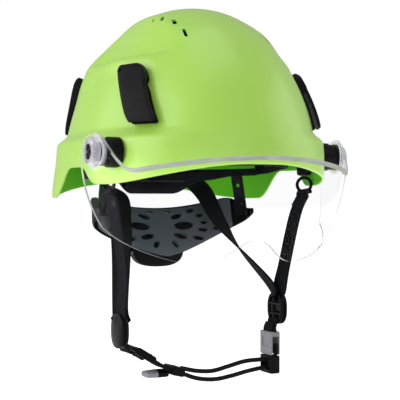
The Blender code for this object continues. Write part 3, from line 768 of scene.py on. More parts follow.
def make_lamp_clip(name, side, foot, head, flip):
    """One hook; foot and head are its middle's angles off the forehead, flip is the notched side."""
    loops = []
    for step in range(CLIP_ACROSS + 1):
        share = -1 + 2 * step / CLIP_ACROSS
        far_side = share * flip > 0
        corner = 11.0 if far_side else 3.0
        reach = max(0.0, abs(share) * 17 - (17 - corner))
        drop = corner - sqrt(max(0.0, corner ** 2 - reach ** 2))
        lift = 1.4 * max(0.0, abs(share) - 0.88) / 0.12
        loop = []
        for z, off in clip_profile():
            rise = (z - CLIP_LOW) / (CLIP_HIGH - CLIP_LOW)
            height = z - drop * smoothstep(z, 48, CLIP_HIGH) + lift * (1 - smoothstep(z, CLIP_LOW, 30))
            middle = foot + (head - foot) * rise
            swing = share * clip_half_width(rise, height, far_side) / shell_outline(radians(middle))
            point, normal = shell_frame(side * (middle + in_degrees(swing)), height)
            loop.append(point + normal * (off - 0.5 * max(0.0, abs(share) - 0.8) / 0.2 * (off > 5.5)))
        loops.append(loop)
    point, normal = shell_frame(side * (head - flip * 5.0), 67)
    fore = normal.cross(Z).normalized()
    dimple = pillow(point + normal * 7.4, fore, normal.cross(fore), (3.0, 3.0, 3.0), 0.2, 0.4, 2)
    piece("lamp_clip_%s_hook" % name, skin(loops), BLACK, "lamp_clip_" + name, edge=0.5, cuts=[dimple])


for side, word in SIDES:
    make_lamp_clip("front_" + word, side, 44, 55.4, -1)
    make_lamp_clip("rear_" + word, side, 148, 142, 1)


# ---- visor
LENS_ROWS = 26
TEETH = 26
DRUM_FACE_X = VISOR_X - VISOR_THICKNESS - 0.5
HUB_FACE_X = VISOR_X + 4.5
# where the drum and its skirt meet the shell: angles off the forehead, and their height
DRUM_ANGLE, SKIRT_ANGLE, DRUM_LEVEL = 58.5, 54.5, -2.0


def visor_point(turn, z, inset):
    """The lens: straight arms, then half an ellipse that leans in lower down."""
    drop = max(0.0, -12 - z)
    half_width = VISOR_X - 0.0045 * drop ** 2 - inset
    reach = VISOR_REACH - 0.27 * drop - 0.0017 * drop ** 2 - inset
    a = min(abs(turn), 90.0)
    x = copysign(half_width * sin(radians(a)), turn)
    y = VISOR_CENTRE_Y - reach * cos(radians(a)) + 1.54 * max(0.0, abs(turn) - 90)
    return Vector((x, y, z))


def visor_top(turn):
    a = abs(turn)
    if a > 84:
        return 15.5 * sqrt(max(0.0, 1 - ((a - 84) / 19.4) ** 2))
    return -4 - 10.5 * min(1.0, a / 56) ** 1.6 + 30 * smoothstep(a, 59, 84)


def visor_bottom(turn):
    a = abs(turn)
    if a > 91:
        return -8 - 54 * (1 - ((a - 91) / 12.2) ** 1.3)
    rise = max(0.0, (a - 26) / 65)
    return -92 + 20 * exp(-(a / 15) ** 2) + 30 * rise ** 1.6


def make_lens():
    half = [k * 2.0 for k in range(38)] + [76 + k * 0.75 for k in range(36)] + [102.6, 103.1]
    loops = []
    for turn in [-t for t in half[:0:-1]] + half:
        top, bottom = visor_top(turn), visor_bottom(turn)
        heights = [bottom + (top - bottom) * k / (LENS_ROWS - 1) for k in range(LENS_ROWS)]
        rib = 0.35 * smoothstep(abs(turn), 56, 66) * (1 - smoothstep(abs(turn), 94, 98))
        outer = [visor_point(turn, z, -rib * exp(-((top - z - 5.5) / 1.1) ** 2)) for z in heights]
        loops.append(outer + [visor_point(turn, z, VISOR_THICKNESS) for z in heights[::-1]])
    hole = ((0, HUB_RADIUS + GAP), (16, HUB_RADIUS + GAP))
    holes = [turned((side * (VISOR_X - 8), PIVOT_Y, 0), (side, 0, 0), hole, 64) for side in (-1, 1)]
    lens = piece("visor_clear_lens", skin(loops), CLEAR, "visor_lens", "visor", 0.35,
                 cuts=[merge(*holes)], crisp=40)
    lens.data.materials.append(EDGE.material)
    for face in lens.data.polygons:
        outward = Vector(face.center) - Vector((0, VISOR_CENTRE_Y, 0)) * MM
        outward = Vector((outward.x, min(0.0, outward.y) * (VISOR_X / VISOR_REACH) ** 2, 0)).normalized()
        face.material_index = int(abs(face.normal.dot(outward)) < 0.5)
    lens.visible_shadow = False


def make_seal():
    """The soft strip along the lens's top edge, rounded above and lipped below."""
    section = ((0.0, 0.7), (-0.3, 1.6), (-0.9, 2.0), (-2.6, 1.9), (-3.3, 2.0), (-3.8, 1.7), (-4.0, 0.4),
               (-3.0, 0.4), (-1.0, 0.4))
    loops = []
    for turn in range(-70, 71):
        top = visor_top(turn) + 0.6
        taper = smoothstep(70 - abs(turn), 0, 16)
        tall = 0.25 + 0.75 * taper
        loops.append([visor_point(turn, top + z * tall, -(0.4 + (out - 0.4) * (0.6 + 0.4 * taper)))
                      for z, out in section])
    piece("visor_milky_strip", skin(loops), MILKY, "visor_brow_seal", "visor", sharp=50)


def make_pivot_drum(side, word):
    """The round base that stands the visor off the shell, and its skirt down to the shell."""
    inboard = abs(shell_point(side * DRUM_ANGLE, DRUM_LEVEL).x) + 6.5
    foot = abs(shell_point(side * SKIRT_ANGLE, DRUM_LEVEL).x) - inboard - 1.0
    deep, r = DRUM_FACE_X - inboard, PIVOT_BASE_RADIUS
    skirt = [(foot, r + 1.2), (-0.6, r + 1.2), (0.2, r + 0.4), (0.6, r - 1.0)]
    drum = [(0, r - 0.4), (0.4, r), (deep * 0.45, r), (deep * 0.5, r - 0.7), (deep * 0.55, r),
            (deep - 0.9, r), (deep - 0.3, r - 0.3), (deep, r - 1.0)]
    for name, profile, node in (("skirt_", skirt, None), ("boss_", drum, "visor_pivot_base_" + word)):
        shape = turned((side * inboard, PIVOT_Y, 0), X * side, profile, 56)
        piece("visor_pivot_" + name + word, shape, BLACK, node)


def make_hub(side, word):
    """The toothed detent disc in the arm's round end."""
    axis, r = X * side, HUB_RADIUS
    start = VISOR_X - VISOR_THICKNESS
    deep = HUB_FACE_X - start
    profile = [(0, r), (3.2, r), (3.7, r - 0.4), (deep - 1.6, r - 1.2), (deep - 0.6, r - 2.0),
               (deep - 0.1, r - 3.2), (deep - 0.1, 9.8), (deep - 1.0, 9.6), (deep - 1.0, 7.6),
               (deep - 0.2, 7.4)]
    shapes = [turned((side * start, PIVOT_Y, 0), axis, profile, 72, PIN_RADIUS + GAP)]
    for turn in turns(TEETH):
        spoke = Y * cos(turn) + Z * sin(turn)
        centre = Vector((side * (HUB_FACE_X - 0.75), PIVOT_Y, 0)) + spoke * 8.6
        shapes.append(pillow(centre, spoke, axis.cross(spoke), (1.7, 1.0, 1.2), 0.3, 0.35, 2))
    hub = piece("visor_detent_hub_" + word, merge(*shapes), HUB, "visor_hub_" + word, "visor")
    hub.visible_shadow = False


def make_pin(side, word):
    """The pin through base and hub, with a cross-shaped head."""
    arms = [PIN_RADIUS * (0.50 + 0.49 * smoothstep(abs(cos(2 * turn + pi / 2)), 0.25, 0.8))
            for turn in turns(72)]
    sections = ((DRUM_FACE_X + GAP, 0), (HUB_FACE_X - 1.3, 0), (HUB_FACE_X - 0.8, 0.25),
                (HUB_FACE_X - 0.6, 0.7))
    loops = [lobed((side * x, PIVOT_Y, 0), Y, Z, [arm - shrink for arm in arms]) for x, shrink in sections]
    piece("visor_cross_pin_" + word, skin(loops), BLACK, "visor_pivot_pin_" + word, sharp=40)


make_lens()
make_seal()
for side, word in SIDES:
    make_pivot_drum(side, word)
    make_hub(side, word)
    make_pin(side, word)


# ---- head harness
def ring_point(degrees, z, grow):
    a = radians(degrees)
    return Vector(((RING_HALF_WIDTH + grow) * sin(a),
                   RING_CENTRE_Y - (RING_HALF_LENGTH + grow) * cos(a), z))


def band(start, stop, steps, low, high, inner, outer, place=ring_point, rows=7, crown=0.0, fillet=0.6):
    """A band between two edges; crown makes its inner face swell like a pad."""
    loops = []
    for k in range(steps + 1):
        a = start + (stop - start) * k / steps
        bottom, top = low(a), high(a)
        inside, outside = [], []
        for i in range(rows):
            share = i / (rows - 1)
            z = bottom + (top - bottom) * share
            trim = fillet * (i in (0, rows - 1))
            inside.append(place(a, z, inner - crown * (1 - (2 * share - 1) ** 4) + trim))
            outside.append(place(a, z, outer - trim))
        loops.append(inside + outside[::-1])
    return skin(loops)


def front_low(a):
    return -11.0 - 4.0 * smoothstep(abs(a), 62, 100)


def front_high(a):
    return 8.0 - 13.5 * smoothstep(abs(a), 50, 100)


def rear_low(a):
    side = abs(180 - abs(a))
    return -33.0 + 13.0 * smoothstep(side, 18, 42) + 4.0 * smoothstep(side, 42, 66)


def slots(places, size, corner):
    """A row of slots to cut, from (centre, across, up) frames."""
    return merge(*[pillow(centre, across, up, size, 0.05, corner, 3) for centre, across, up in places])


def ring_frame(degrees, z, grow):
    centre = ring_point(degrees, z, grow)
    across = (ring_point(degrees + 1, z, grow) - ring_point(degrees - 1, z, grow)).normalized()
    return centre, across, Z


def make_headband():
    piece("headband_front_band", band(-52, 52, 60, front_low, front_high, 0, 1.8), HARNESS,
          "headband_front", edge=0.3)
    for side, word in SIDES:
        arm = band(side * 53, side * 100, 36, front_low, front_high, 0, 1.8)
        places = [ring_frame(side * (60 + 6 * k), -6.0, 1.0) for k in range(6)]
        piece("headband_arm_%s_band" % word, arm, HARNESS, "headband_arm_" + word, edge=0.3,
              cuts=[slots(places, (3.6, 7.0, 8.0), 1.7)])
    rear = band(96, 264, 84, rear_low, lambda a: -9.0, -4.6, -2.4)
    places = [ring_frame(180 + 9 * k, -15.0, -3.5) for k in range(-3, 4)]
    piece("headband_rear_band", rear, HARNESS, "headband_rear", "nape_unit", 0.3,
          cuts=[slots(places, (6.0, 3.0, 9.0), 1.4)])
    sweatband = band(152, 208, 40, lambda a: rear_low(a) + 1.5, lambda a: -10.5, -6.0, -4.7, rows=9,
                     crown=2.0)
    piece("rear_sweatband", sweatband, CUSHION, None, "nape_unit", sharp=60)
    seam = [ring_point(153 + 2 * k, -20.5, -8.3) for k in range(28)]
    piece("rear_sweatband_seam", tube(seam, 0.35, 6), THREAD, None, "nape_unit")


make_headband()


# ---- pads, crown webbing and its anchors
CLOTH_FRAMES = 16


def swell(obj, voxel, cap):
    """Fill a pad with a short cloth run, its points held within cap mm of where they start."""
    remesh = obj.modifiers.new("remesh", "REMESH")
    remesh.mode = "VOXEL"
    remesh.voxel_size = voxel * MM
    bake_modifiers(obj)
    start = [v.co.copy() for v in obj.data.vertices]
    cloth = obj.modifiers.new("cloth", "CLOTH")
    cloth.settings.use_pressure = True
    cloth.settings.uniform_pressure_force = 3.0
    cloth.settings.tension_stiffness = 20
    cloth.settings.compression_stiffness = 20
    cloth.settings.bending_stiffness = 2.0
    cloth.settings.effector_weights.gravity = 0
    cloth.point_cache.frame_start = 1
    cloth.point_cache.frame_end = CLOTH_FRAMES
    for step in range(1, CLOTH_FRAMES + 1):
        scene.frame_set(step)
    bake_modifiers(obj)
    for vertex, rest in zip(obj.data.vertices, start):
        move = vertex.co - rest
        if move.length > cap * MM:
            vertex.co = rest + move.normalized() * cap * MM
    scene.frame_set(1)
    smooth = obj.modifiers.new("smooth", "SUBSURF")
    smooth.levels = smooth.render_levels = 1
    bake_modifiers(obj)
    obj.data.shade_smooth()


def make_cushion(name, shape, voxel, cap):
    pad = bare(name + "_cushion", shape)
    swell(pad, voxel, cap)
    dress(pad, CUSHION, name, "helmet")


def make_brow_pad():
    pad = band(-54, 54, 60, lambda a: -9.2, lambda a: 6.0, -4.2, -1.0, fillet=1.2)
    make_cushion("brow_pad", pad, 1.8, 0.9)
    rows = [tube([ring_point(-52 + 2 * k, z, -5.0) for k in range(53)], 0.32, 6) for z in (-4.4, 1.0)]
    piece("brow_pad_quilting", merge(*rows), THREAD)


def crown_path(side, lift, steps):
    start = Vector((side * 47, -92, 12))
    stop = Vector((-side * 50, 58, 12))
    middle, half = (start + stop) / 2, (stop - start) / 2
    path = [middle - half * cos(pi * k / steps) + Z * (lift * sin(pi * k / steps))
            for k in range(steps + 1)]
    return path, half.cross(Z)


def bar_tack(point, along, across, width, length):
    """A dense zigzag of thread that sews a strap's fold down."""
    normal = along.cross(across).normalized()
    stitches = 2 * int(length / 0.9) + 1
    rows = []
    for row in (-0.32, 0.0, 0.32):
        path = [point + across * (width * row) + along * (length * (k / stitches - 0.5))
                + across * (0.9 * (1 if k % 2 else -1)) + normal * 0.15 for k in range(stitches + 1)]
        rows.append(tube(path, 0.26, 5, up=normal))
    return merge(*rows)


def make_crown():
    for word, side, lift in (("a", 1, 84.0), ("b", -1, 88.0)):
        path, across = crown_path(side, lift, 60)
        piece("crown_webbing_" + word, strap(path, across, WEBBING_WIDTH, 1.4), WEBBING,
              "crown_strap_" + word)
    disc = turned((0, -17, 83.8), Z, ((0, 22), (1.2, 26.5), (4, 26.5), (5.2, 22)), 48)
    make_cushion("crown_pad", disc, 1.6, 0.8)


def make_suspension_anchors():
    places = (("front_right", -37), ("front_left", 37), ("rear_right", -143), ("rear_left", 143))
    for word, degrees in places:
        inner = ring_point(degrees, 0, 4.5)
        outward = Vector((inner.x, inner.y, 0)).normalized()
        wall = shell_point(in_degrees(atan2(inner.x, -inner.y)), 0, SHELL_WALL)
        outer = outward * (Vector((wall.x, wall.y, 0)).length - 3.5)
        across = Z.cross(outward)
        span = (outer - inner).length
        loops = []
        for share in (0.0, 0.06, 0.5, 0.94, 1.0):
            trim = 0.8 if share in (0.0, 1.0) else 0.0
            loops.append(rounded(inner + outward * (span * share) + Z * 0.5, across, Z,
                                 6.5 + 2.5 * share - trim, 6.5 - trim - 1.2 * sin(pi * share), 1.8))
        pocket = pillow(inner + outward * (span * 0.5) + Z * 6.0, across, outward, (8.0, span * 0.5, 5.0),
                        0.3, 1.2, 3)
        piece("suspension_clip_" + word, skin(loops), HARNESS, "suspension_anchor_" + word, edge=0.3,
              cuts=[pocket])


make_brow_pad()
make_crown()
make_suspension_anchors()


# ---- nape cradle and size adjuster
NAPE_PAD_CENTRE_Z = -66.2
ADJUSTER_FRONT = KNOB_CENTRE.y - 17.5
CRADLE_BACK = ADJUSTER_FRONT - GAP
# distance from the pad's centre line, height above its middle, length, width and slant of each hole
PETALS = ((17.4, 10.5, 14, 5.7, 20), (34, 16, 9.7, 4.9, 22), (23.8, 1.8, 21.6, 9.9, 6),
          (43, 11.5, 8.6, 4.7, 18), (46, 4.6, 7.6, 4.5, 8), (43.5, -2.5, 10.8, 5.1, 0),
          (17.6, -8.3, 15.1, 6.8, -12), (36.5, -10.3, 11.9, 5.6, -8), (51.5, -12, 7.6, 4.5, -6),
          (10, -16, 9.2, 5.5, -52), (56, 12, 7.6, 4.7, 14), (58, -1, 6.5, 4.4, 0))


def nape_curve():
    """Half of the cradle's plan as fine points, each with its distance from the middle."""
    path = curve_through([(x, y, 0) for x, y in NAPE_PLAN], 8)
    walked = [0.0]
    for here, there in zip(path, path[1:]):
        walked.append(walked[-1] + (there - here).length)
    return path, walked


NAPE_PATH, NAPE_WALKED = nape_curve()


def nape_point(offset, z, grow):
    """A place on the cradle, by its distance along the curve from the middle of the back."""
    reach = min(abs(offset), NAPE_WALKED[-1] - 0.01)
    i = max(k for k in range(len(NAPE_PATH) - 1) if NAPE_WALKED[k] <= reach)
    share = (reach - NAPE_WALKED[i]) / (NAPE_WALKED[i + 1] - NAPE_WALKED[i])
    spot = NAPE_PATH[i].lerp(NAPE_PATH[i + 1], share)
    behind, ahead = NAPE_PATH[max(i - 1, 0)], NAPE_PATH[min(i + 2, len(NAPE_PATH) - 1)]
    outward = (behind - ahead).cross(Z).normalized()
    if i == 0:
        outward = Y
    lean = NAPE_LEAN * (z - NAPE_MIDDLE_Z) * max(0.0, outward.y) ** 2
    place = spot + outward * grow + Vector((0, lean, z))
    return Vector((copysign(place.x, offset), place.y, place.z))


def nape_low(offset):
    return -94 + 33 * (abs(offset) / 85) ** 1.35


def nape_high(offset):
    s = abs(offset)
    return -47 + 10 * min(1.0, s / 70) ** 2 - 10 * smoothstep(s, 74, 92)


def cradle_point(offset, z, grow):
    """The cradle has a flat boss behind its middle, where the adjuster is fixed."""
    spot = nape_point(offset, z, grow)
    if grow > 1.0 and abs(offset) < 25 and z < (nape_low(offset) + nape_high(offset)) / 2:
        spot.y = max(spot.y, CRADLE_BACK - (2.6 - grow))
    return spot


def nape_frame(offset, height, grow):
    """A place on the cradle by distance along the curve and height; with along, up and outward."""
    spot = nape_point(offset, NAPE_PAD_CENTRE_Z + height, grow)
    along = (nape_point(offset + 2, spot.z, grow) - nape_point(offset - 2, spot.z, grow)).normalized()
    up = (nape_point(offset, spot.z + 2, grow) - nape_point(offset, spot.z - 2, grow)).normalized()
    return spot, along, up, up.cross(along).normalized()


def petal_cuts():
    cuts = []
    for offset, height, length, width, slant in PETALS:
        for side in (-1, 1):
            spot, along, up, outward = nape_frame(side * offset, height, -3.0)
            ray = (along * (side * cos(radians(slant))) + up * sin(radians(slant))).normalized()
            cuts.append(skin([ellipse(spot + outward * d, ray, outward.cross(ray), length / 2, width / 2, 28)
                              for d in (-6, 6)]))
    return cuts


def peep_cuts():
    """Two small holes through pad and cradle."""
    cuts = []
    for side in (-1, 1):
        spot, along, up, outward = nape_frame(side * 9.5, 14.6, -1.5)
        cuts.append(skin([ellipse(spot + outward * d, along, up, 3.6, 1.9, 24) for d in (-8, 8)]))
    return cuts


def make_nape():
    cradle = band(-101, 101, 136, nape_low, nape_high, 0.0, 2.6, cradle_point, 11)
    piece("nape_cradle_shell", cradle, HARNESS, "nape_cradle", "nape_unit", 0.4,
          cuts=[merge(*peep_cuts())], crisp=40)
    pad = band(-76, 76, 120, lambda a: nape_low(a) + 1.0, lambda a: nape_high(a) - 1.0, -4.4, -1.0,
               nape_point, 11, crown=0.6, fillet=0.9)
    made = piece("nape_pad_foam", pad, SLATE, "nape_pad", "nape_unit", 0.35,
                 cuts=[merge(*petal_cuts(), *peep_cuts())], crisp=45)
    for side, word in SIDES:
        path = curve_through((ring_point(side * 116, -12, 1.6), (side * 71.5, 29, -30),
                              (side * 73.5, 28, -46), (side * 73.8, 28, -54)), 14)
        piece("nape_hanger_%s_arm" % word, strap(path, Y, 20, 2.2, 0.0), HARNESS, "nape_hanger_" + word,
              "nape_unit", 0.3, cuts=[slots([(path[k], Y, Z) for k in (10, 26)], (9.0, 3.0, 12.0), 1.4)])


RACK_OFFSET = 8.6
RACK_HALF_LENGTH = 21.0
RACK_HALF_HEIGHT = 1.3
RACK_PITCH = 2.0
KNOB_RIBS = 36


def make_housing():
    loops = []
    for y, w, h in ((0, 24, 14.5), (0.5, 25, 15.5), (2, 27, 17.5), (10, 27, 17.5), (11.5, 25.5, 16),
                    (12, 24.5, 15)):
        loops.append(ellipse((0, ADJUSTER_FRONT + y, KNOB_CENTRE.z - 4.5), X, Z, w, h, 72, 0.75))
    middle = (0, ADJUSTER_FRONT + 6, KNOB_CENTRE.z)
    room = pillow(middle, X, Y, (70, 6.4, 20.4), 0.1, 0.8, 2)
    bore = turned(middle, Y, ((0, 4.4), (9, 4.4)), 32)
    piece("ratchet_housing_cover", skin(loops), BLACK, "ratchet_housing", "nape_unit", 0.4,
          cuts=[room, bore])


def make_knob():
    """Sections are (distance along the axis, radius, depth of the grip's grooves)."""
    r = KNOB_RADIUS
    ribs = [0.9 * max(0.0, cos(KNOB_RIBS * turn)) ** 0.6 for turn in turns(KNOB_RIBS * 6)]
    loops = []
    for d, radius, groove in ((0, r - 1.2, 0.0), (0.6, r - 0.4, 0.6), (1.6, r, 1.0), (8.4, r - 0.4, 1.0),
                              (10.0, r - 1.2, 0.7), (11.0, r - 3.0, 0.2), (11.0, r - 6.0, 0.0),
                              (10.2, r - 7.2, 0.0), (10.2, 5.0, 0.0), (10.8, 4.0, 0.0), (10.8, 1.0, 0.0)):
        loops.append(lobed((0, ADJUSTER_FRONT + 12.5 + d, KNOB_CENTRE.z), X, Z,
                           [radius - groove * rib for rib in ribs]))
    piece("ratchet_grip_knob", skin(loops), BLACK, "ratchet_knob", "size_knob", sharp=30)


def make_pinion():
    """Sections are (distance along the axis, radius between the teeth, radius at their tips)."""
    teeth = [smoothstep(cos(12 * turn), -0.5, 0.5) for turn in turns(96)]
    loops = []
    for d, root, tip in ((0.0, 5.2, 6.4), (0.3, 5.3, 6.7), (4.7, 5.3, 6.7), (5.0, 5.2, 6.4), (5.0, 4.0, 4.0),
                         (8.9, 4.0, 4.0)):
        loops.append(lobed((0, ADJUSTER_FRONT + 3.5 + d, KNOB_CENTRE.z), X, Z,
                           [root + (tip - root) * tooth for tooth in teeth]))
    piece("ratchet_pinion_gear", skin(loops), GREY, "ratchet_pinion", "size_knob", sharp=30)


def make_rack(side, word):
    """A strip with its teeth towards the pinion."""
    end, half = RACK_HALF_LENGTH, RACK_HALF_HEIGHT
    teeth = [(-end, half)]
    for k in range(21):
        x = RACK_PITCH * k - end
        teeth += [(x + 0.4, half), (x + 0.8, 0.5), (x + 1.3, 0.5), (x + 1.7, half)]
    teeth.append((end, half))
    outline = [(x, -side * h) for x, h in teeth] + [(end, side * half), (-end, side * half)]
    level = KNOB_CENTRE.z + side * RACK_OFFSET
    loops = [[Vector((side * 11 + x, ADJUSTER_FRONT + 6 + y, level + z)) for x, z in outline]
             for y in (-1.2, 1.2)]
    piece("rack_strip_%s_teeth" % word, skin(loops), GREY, "rack_strip_" + word, "rack_" + word, 0.12, 20)


make_nape()
make_housing()
make_knob()
make_pinion()
for side, word in SIDES:
    make_rack(side, word)


# ---- side straps
FOLD_POINT = 14
TACK_POINT = 10


def eased_sides(path, first, last):
    """Width directions that turn evenly from one to another along a path."""
    count = len(path) - 1
    return [Vector(first).lerp(Vector(last), smoothstep(k / count, 0, 1)) for k in range(count + 1)]


def make_front_anchor(side, word):
    """The lug under the rim, and the ring that hangs from it."""
    place = Vector((side * STRAP_ANCHOR_X, STRAP_ANCHOR_Y, -9))
    recess = pillow(place + X * (side * 2.8), Y, Z, (9, 6, 2.4), 0.3, 1.5)
    piece("strap_anchor_front_%s_lug" % word, pillow(place, Y, Z, (18, 15, 5.4), 1.2, 3.0), BLACK,
          "strap_anchor_front_" + word, cuts=[recess])
    centre = place - Z * 16
    ring = [centre + Y * (11.5 * cos(turn)) + Z * (6.5 * sin(turn)) for turn in turns(56)]
    piece("strap_ring_%s_bail" % word, tube(ring, 1.5, 14, True, X), BLACK, "strap_ring_front_" + word)
    return centre


def make_front_strap(side, word, slider, ring):
    """The front leg, its end folded through the ring and sewn down with a bar tack."""
    path = curve_through(((side * (STRAP_ANCHOR_X - 0.2), STRAP_ANCHOR_Y, -33.6), (side * 90, -43, -54),
                          (side * 81, -38, -102), slider + Vector((side * 0.2, -3, 15.5)),
                          slider + Vector((-side * 1.9, -3, 5.0))), 20)
    leg = strap(path, (0, 1, -0.15), WEBBING_WIDTH, WEBBING_THICKNESS)
    fold = curve_through((path[0] + Vector((side * 0.2, 0, 0.4)), ring + Vector((side * 2.1, 0, -7.4)),
                          ring + Vector((side * 0.2, 0, -4.4)), ring + Vector((-side * 2.1, 0, -7.4)),
                          path[0] + Vector((-side * 1.9, 0, -1.5)),
                          path[FOLD_POINT] + Vector((-side * 1.9, 0, 0))), 6)
    piece("front_strap_%s_webbing" % word, merge(leg, strap(fold, (0, 1, -0.1), WEBBING_WIDTH - 1.0, 1.3)),
          WEBBING, "front_strap_" + word)
    ahead = (path[TACK_POINT + 1] - path[TACK_POINT - 1]).normalized()
    tack = bar_tack(path[TACK_POINT] + X * (side * 0.75), ahead, Y, 16, 3.5)
    piece("front_strap_%s_bar_tack" % word, tack, THREAD)


def make_rear_strap(side, word, slider):
    """The rear leg, which passes inside the nape cradle's wing, and its anchor."""
    piece("strap_anchor_rear_%s_lug" % word, pillow((side * 54, 96, -14), X, Z, (20, 10, 8), 1.2, 2.5),
          BLACK, "strap_anchor_rear_" + word)
    path = curve_through(((side * 53, 91, -20), (side * 46.5, 53, -33.5), (side * 52.5, 32, -61),
                          (side * 60.5, 12, -84), slider + Vector((-side * 3.0, 6, 20.5)),
                          slider + Vector((-side * 2.6, 3, 6))), 18)
    sides = eased_sides(path, (side * 0.93, 0, 0.37), (side * 0.3, 0.75, -0.6))
    piece("rear_strap_%s_webbing" % word, strap(path, sides, WEBBING_WIDTH, WEBBING_THICKNESS), WEBBING,
          "rear_strap_" + word)


def make_slider(side, word, centre):
    """The Y slider: a glossy domed cover outside, and an open frame of bars inside."""
    out = X * side
    dome = ((0.2, 11.6, 13.6), (0.8, 12.6, 14.8), (1.6, 12.8, 15.0), (2.6, 12.2, 14.3), (3.5, 10.6, 12.5),
            (4.1, 8.0, 9.6), (4.4, 4.2, 5.2), (4.45, 0.8, 1.0))
    rim = ellipse(centre - out * 1.9, Y, Z, 11.0, 13.2, 60, 0.8)
    bead = ellipse(centre + out * 2.3, Y, Z, 11.9, 14.1, 60, 0.8)
    shapes = [skin([ellipse(centre + out * x, Y, Z, w, h, 56, 0.8) for x, w, h in dome]),
              tube(rim, 1.9, 12, True, X), tube(bead, 0.9, 10, True, X)]
    for height, half in ((4.5, 10.4), (-5.0, 10.2)):
        bar = [centre - out * 1.9 + Y * (half * share) + Z * height for share in (-1, -0.5, 0, 0.5, 1)]
        shapes.append(tube(bar, 1.7, 12, up=X))
    piece("y_slider_%s_cover" % word, merge(*shapes), GLOSS, "y_slider_" + word, sharp=40)


for side, word, slider in ((-1, "right", SLIDER_RIGHT), (1, "left", SLIDER_LEFT)):
    ring = make_front_anchor(side, word)
    make_front_strap(side, word, slider, ring)
    make_rear_strap(side, word, slider)
    make_slider(side, word, slider)


# ---- chin strap
def tipped(degrees):
    """Axes of a piece that is tipped about the fore-and-aft line."""
    spin = Matrix.Rotation(radians(degrees), 3, "Y")
    return spin @ X, spin @ Z


def make_chin_link():
    path = curve_through((HINGE_POINT + Vector((1.4, 0, 3.0)), HINGE_POINT + Vector((1.6, 0, -2.5)),
                          (-72.4, CHIN_Y, -170.6), (-69.4, CHIN_Y, -170.0)), 6)
    piece("chin_link_webbing", strap(path, Y, WEBBING_WIDTH, WEBBING_THICKNESS), WEBBING, "chin_link",
          "chin_strap")


def make_chin_webbing():
    """Two layers, from the adjuster down to the keeper."""
    path = curve_through(((-49, CHIN_Y, -179.6), (-41, CHIN_Y, -184.5), (-33.4, CHIN_Y, -187.6)), 12)
    layers = [strap([p + Z * lift for p in path], Y, WEBBING_WIDTH, 1.35) for lift in (0.75, -0.75)]
    piece("chin_webbing_double", merge(*layers), WEBBING, "chin_webbing", "chin_strap")


def make_keeper():
    along, up = tipped(14)
    centre = Vector((-27, CHIN_Y, -190.0))
    groove = pillow(centre + up * 4.0, along, Y, (2.0, 26, 1.4), 0.3, 0.5, 2)
    piece("strap_keeper_block", pillow(centre, along, up, (12, 8, 23), 1.6, 1.8), BLACK, "strap_keeper",
          "chin_strap", cuts=[groove])


def make_strap_end():
    """The grey lock at the strap's free end, and the black sleeve behind it."""
    lock = ((-56.2, 5.0, 1.2), (-55.6, 6.6, 2.2), (-54, 8.2, 2.8), (-48, 8.8, 3.1), (-46.2, 9, 3.2))
    sleeve = ((-45.8, 8.4, 2.7), (-45.2, 8.4, 2.7), (-44.8, 9, 3.2), (-37, 9, 3.2), (-36, 8.6, 2.8))

    def end_shape(sections):
        return skin([ellipse((x, CHIN_Y, -191.5), Y, Z, w, h, 40, 0.7) for x, w, h in sections])

    piece("strap_end_lock", end_shape(lock), GREY, "strap_end_tip", "chin_strap", sharp=40)
    piece("strap_end_sleeve", end_shape(sleeve), BLACK, None, "chin_strap", sharp=40)


def make_adjuster_buckle():
    """A ladder lock: two side rails, three bars and a lifting tab at its lower end."""
    centre = Vector((-59, CHIN_Y, -173.5))
    along, up = tipped(32)
    shapes = [pillow(centre + Y * (s * 10.9), along, up, (20.6, 6.6, 3.0), 1.0, 2.2) for s in (-1, 1)]
    for shift, lift, size in ((-8.6, 0.4, (3.6, 3.6, 20)), (-1.6, -1.2, (3.4, 3.2, 20)),
                              (5.0, 0.9, (3.6, 3.4, 20)), (9.2, 2.2, (3.2, 2.6, 20))):
        shapes.append(pillow(centre + along * shift + up * lift, along, up, size, 1.0, 1.2))
    piece("chin_adjuster_ladder", merge(*shapes), BLACK, "chin_adjuster", "chin_strap", sharp=40)
    route = ((-8.8, 2.6), (-5.2, -0.6), (-1.6, -3.4), (2.0, -0.4), (5.0, 3.2), (9.6, 0.2))
    weave = curve_through([centre + along * shift + up * lift for shift, lift in route], 7)
    piece("chin_adjuster_weave", strap(weave, Y, 17.5, 1.2), WEBBING, None, "chin_strap")


make_chin_link()
make_adjuster_buckle()
make_chin_webbing()
make_keeper()
make_strap_end()


# ---- buckle
def make_socket():
    """The grey socket, the webbing link that holds it and the bail between them."""
    x, y = BUCKLE_X, CHIN_Y
    middle, tall = (BUCKLE_TOP_Z + BUCKLE_MOUTH_Z) / 2, BUCKLE_TOP_Z - BUCKLE_MOUTH_Z
    room = pillow((x, y, BUCKLE_MOUTH_Z + 7), X, Y, (7.3, 40, 20), 0.1, 0.8)
    thumb_rest = pillow((x - 5.0, y, BUCKLE_MOUTH_Z + 12), Y, Z, (11, 9, 1.4), 0.3, 2.0)
    piece("buckle_socket_body", pillow((x, y, middle), X, Y, (10.5, 21, tall), 1.0, 2.4), GREY,
          "buckle_female", edge=0.3, cuts=[room, thumb_rest])
    route = ((79.6, -149.6), (76.2, -150.4), (75.4, -154.5), (74.6, -157.6), (73.2, -160.4), (71.0, -160.2),
             (71.6, -156.8), (73.6, -153.0))
    link = curve_through([(along, y, z) for along, z in route], 8)
    piece("buckle_link_webbing", strap(link, Y, 15, WEBBING_THICKNESS), WEBBING, "buckle_link")
    bail = [Vector((x, y + 9.4 * cos(turn), BUCKLE_TOP_Z - 0.4 + 5.6 * max(0.0, sin(turn)) ** 0.5))
            for turn in (pi * k / 24 for k in range(25))]
    piece("buckle_bail", tube(bail, 1.3, 12, up=X), BLACK)


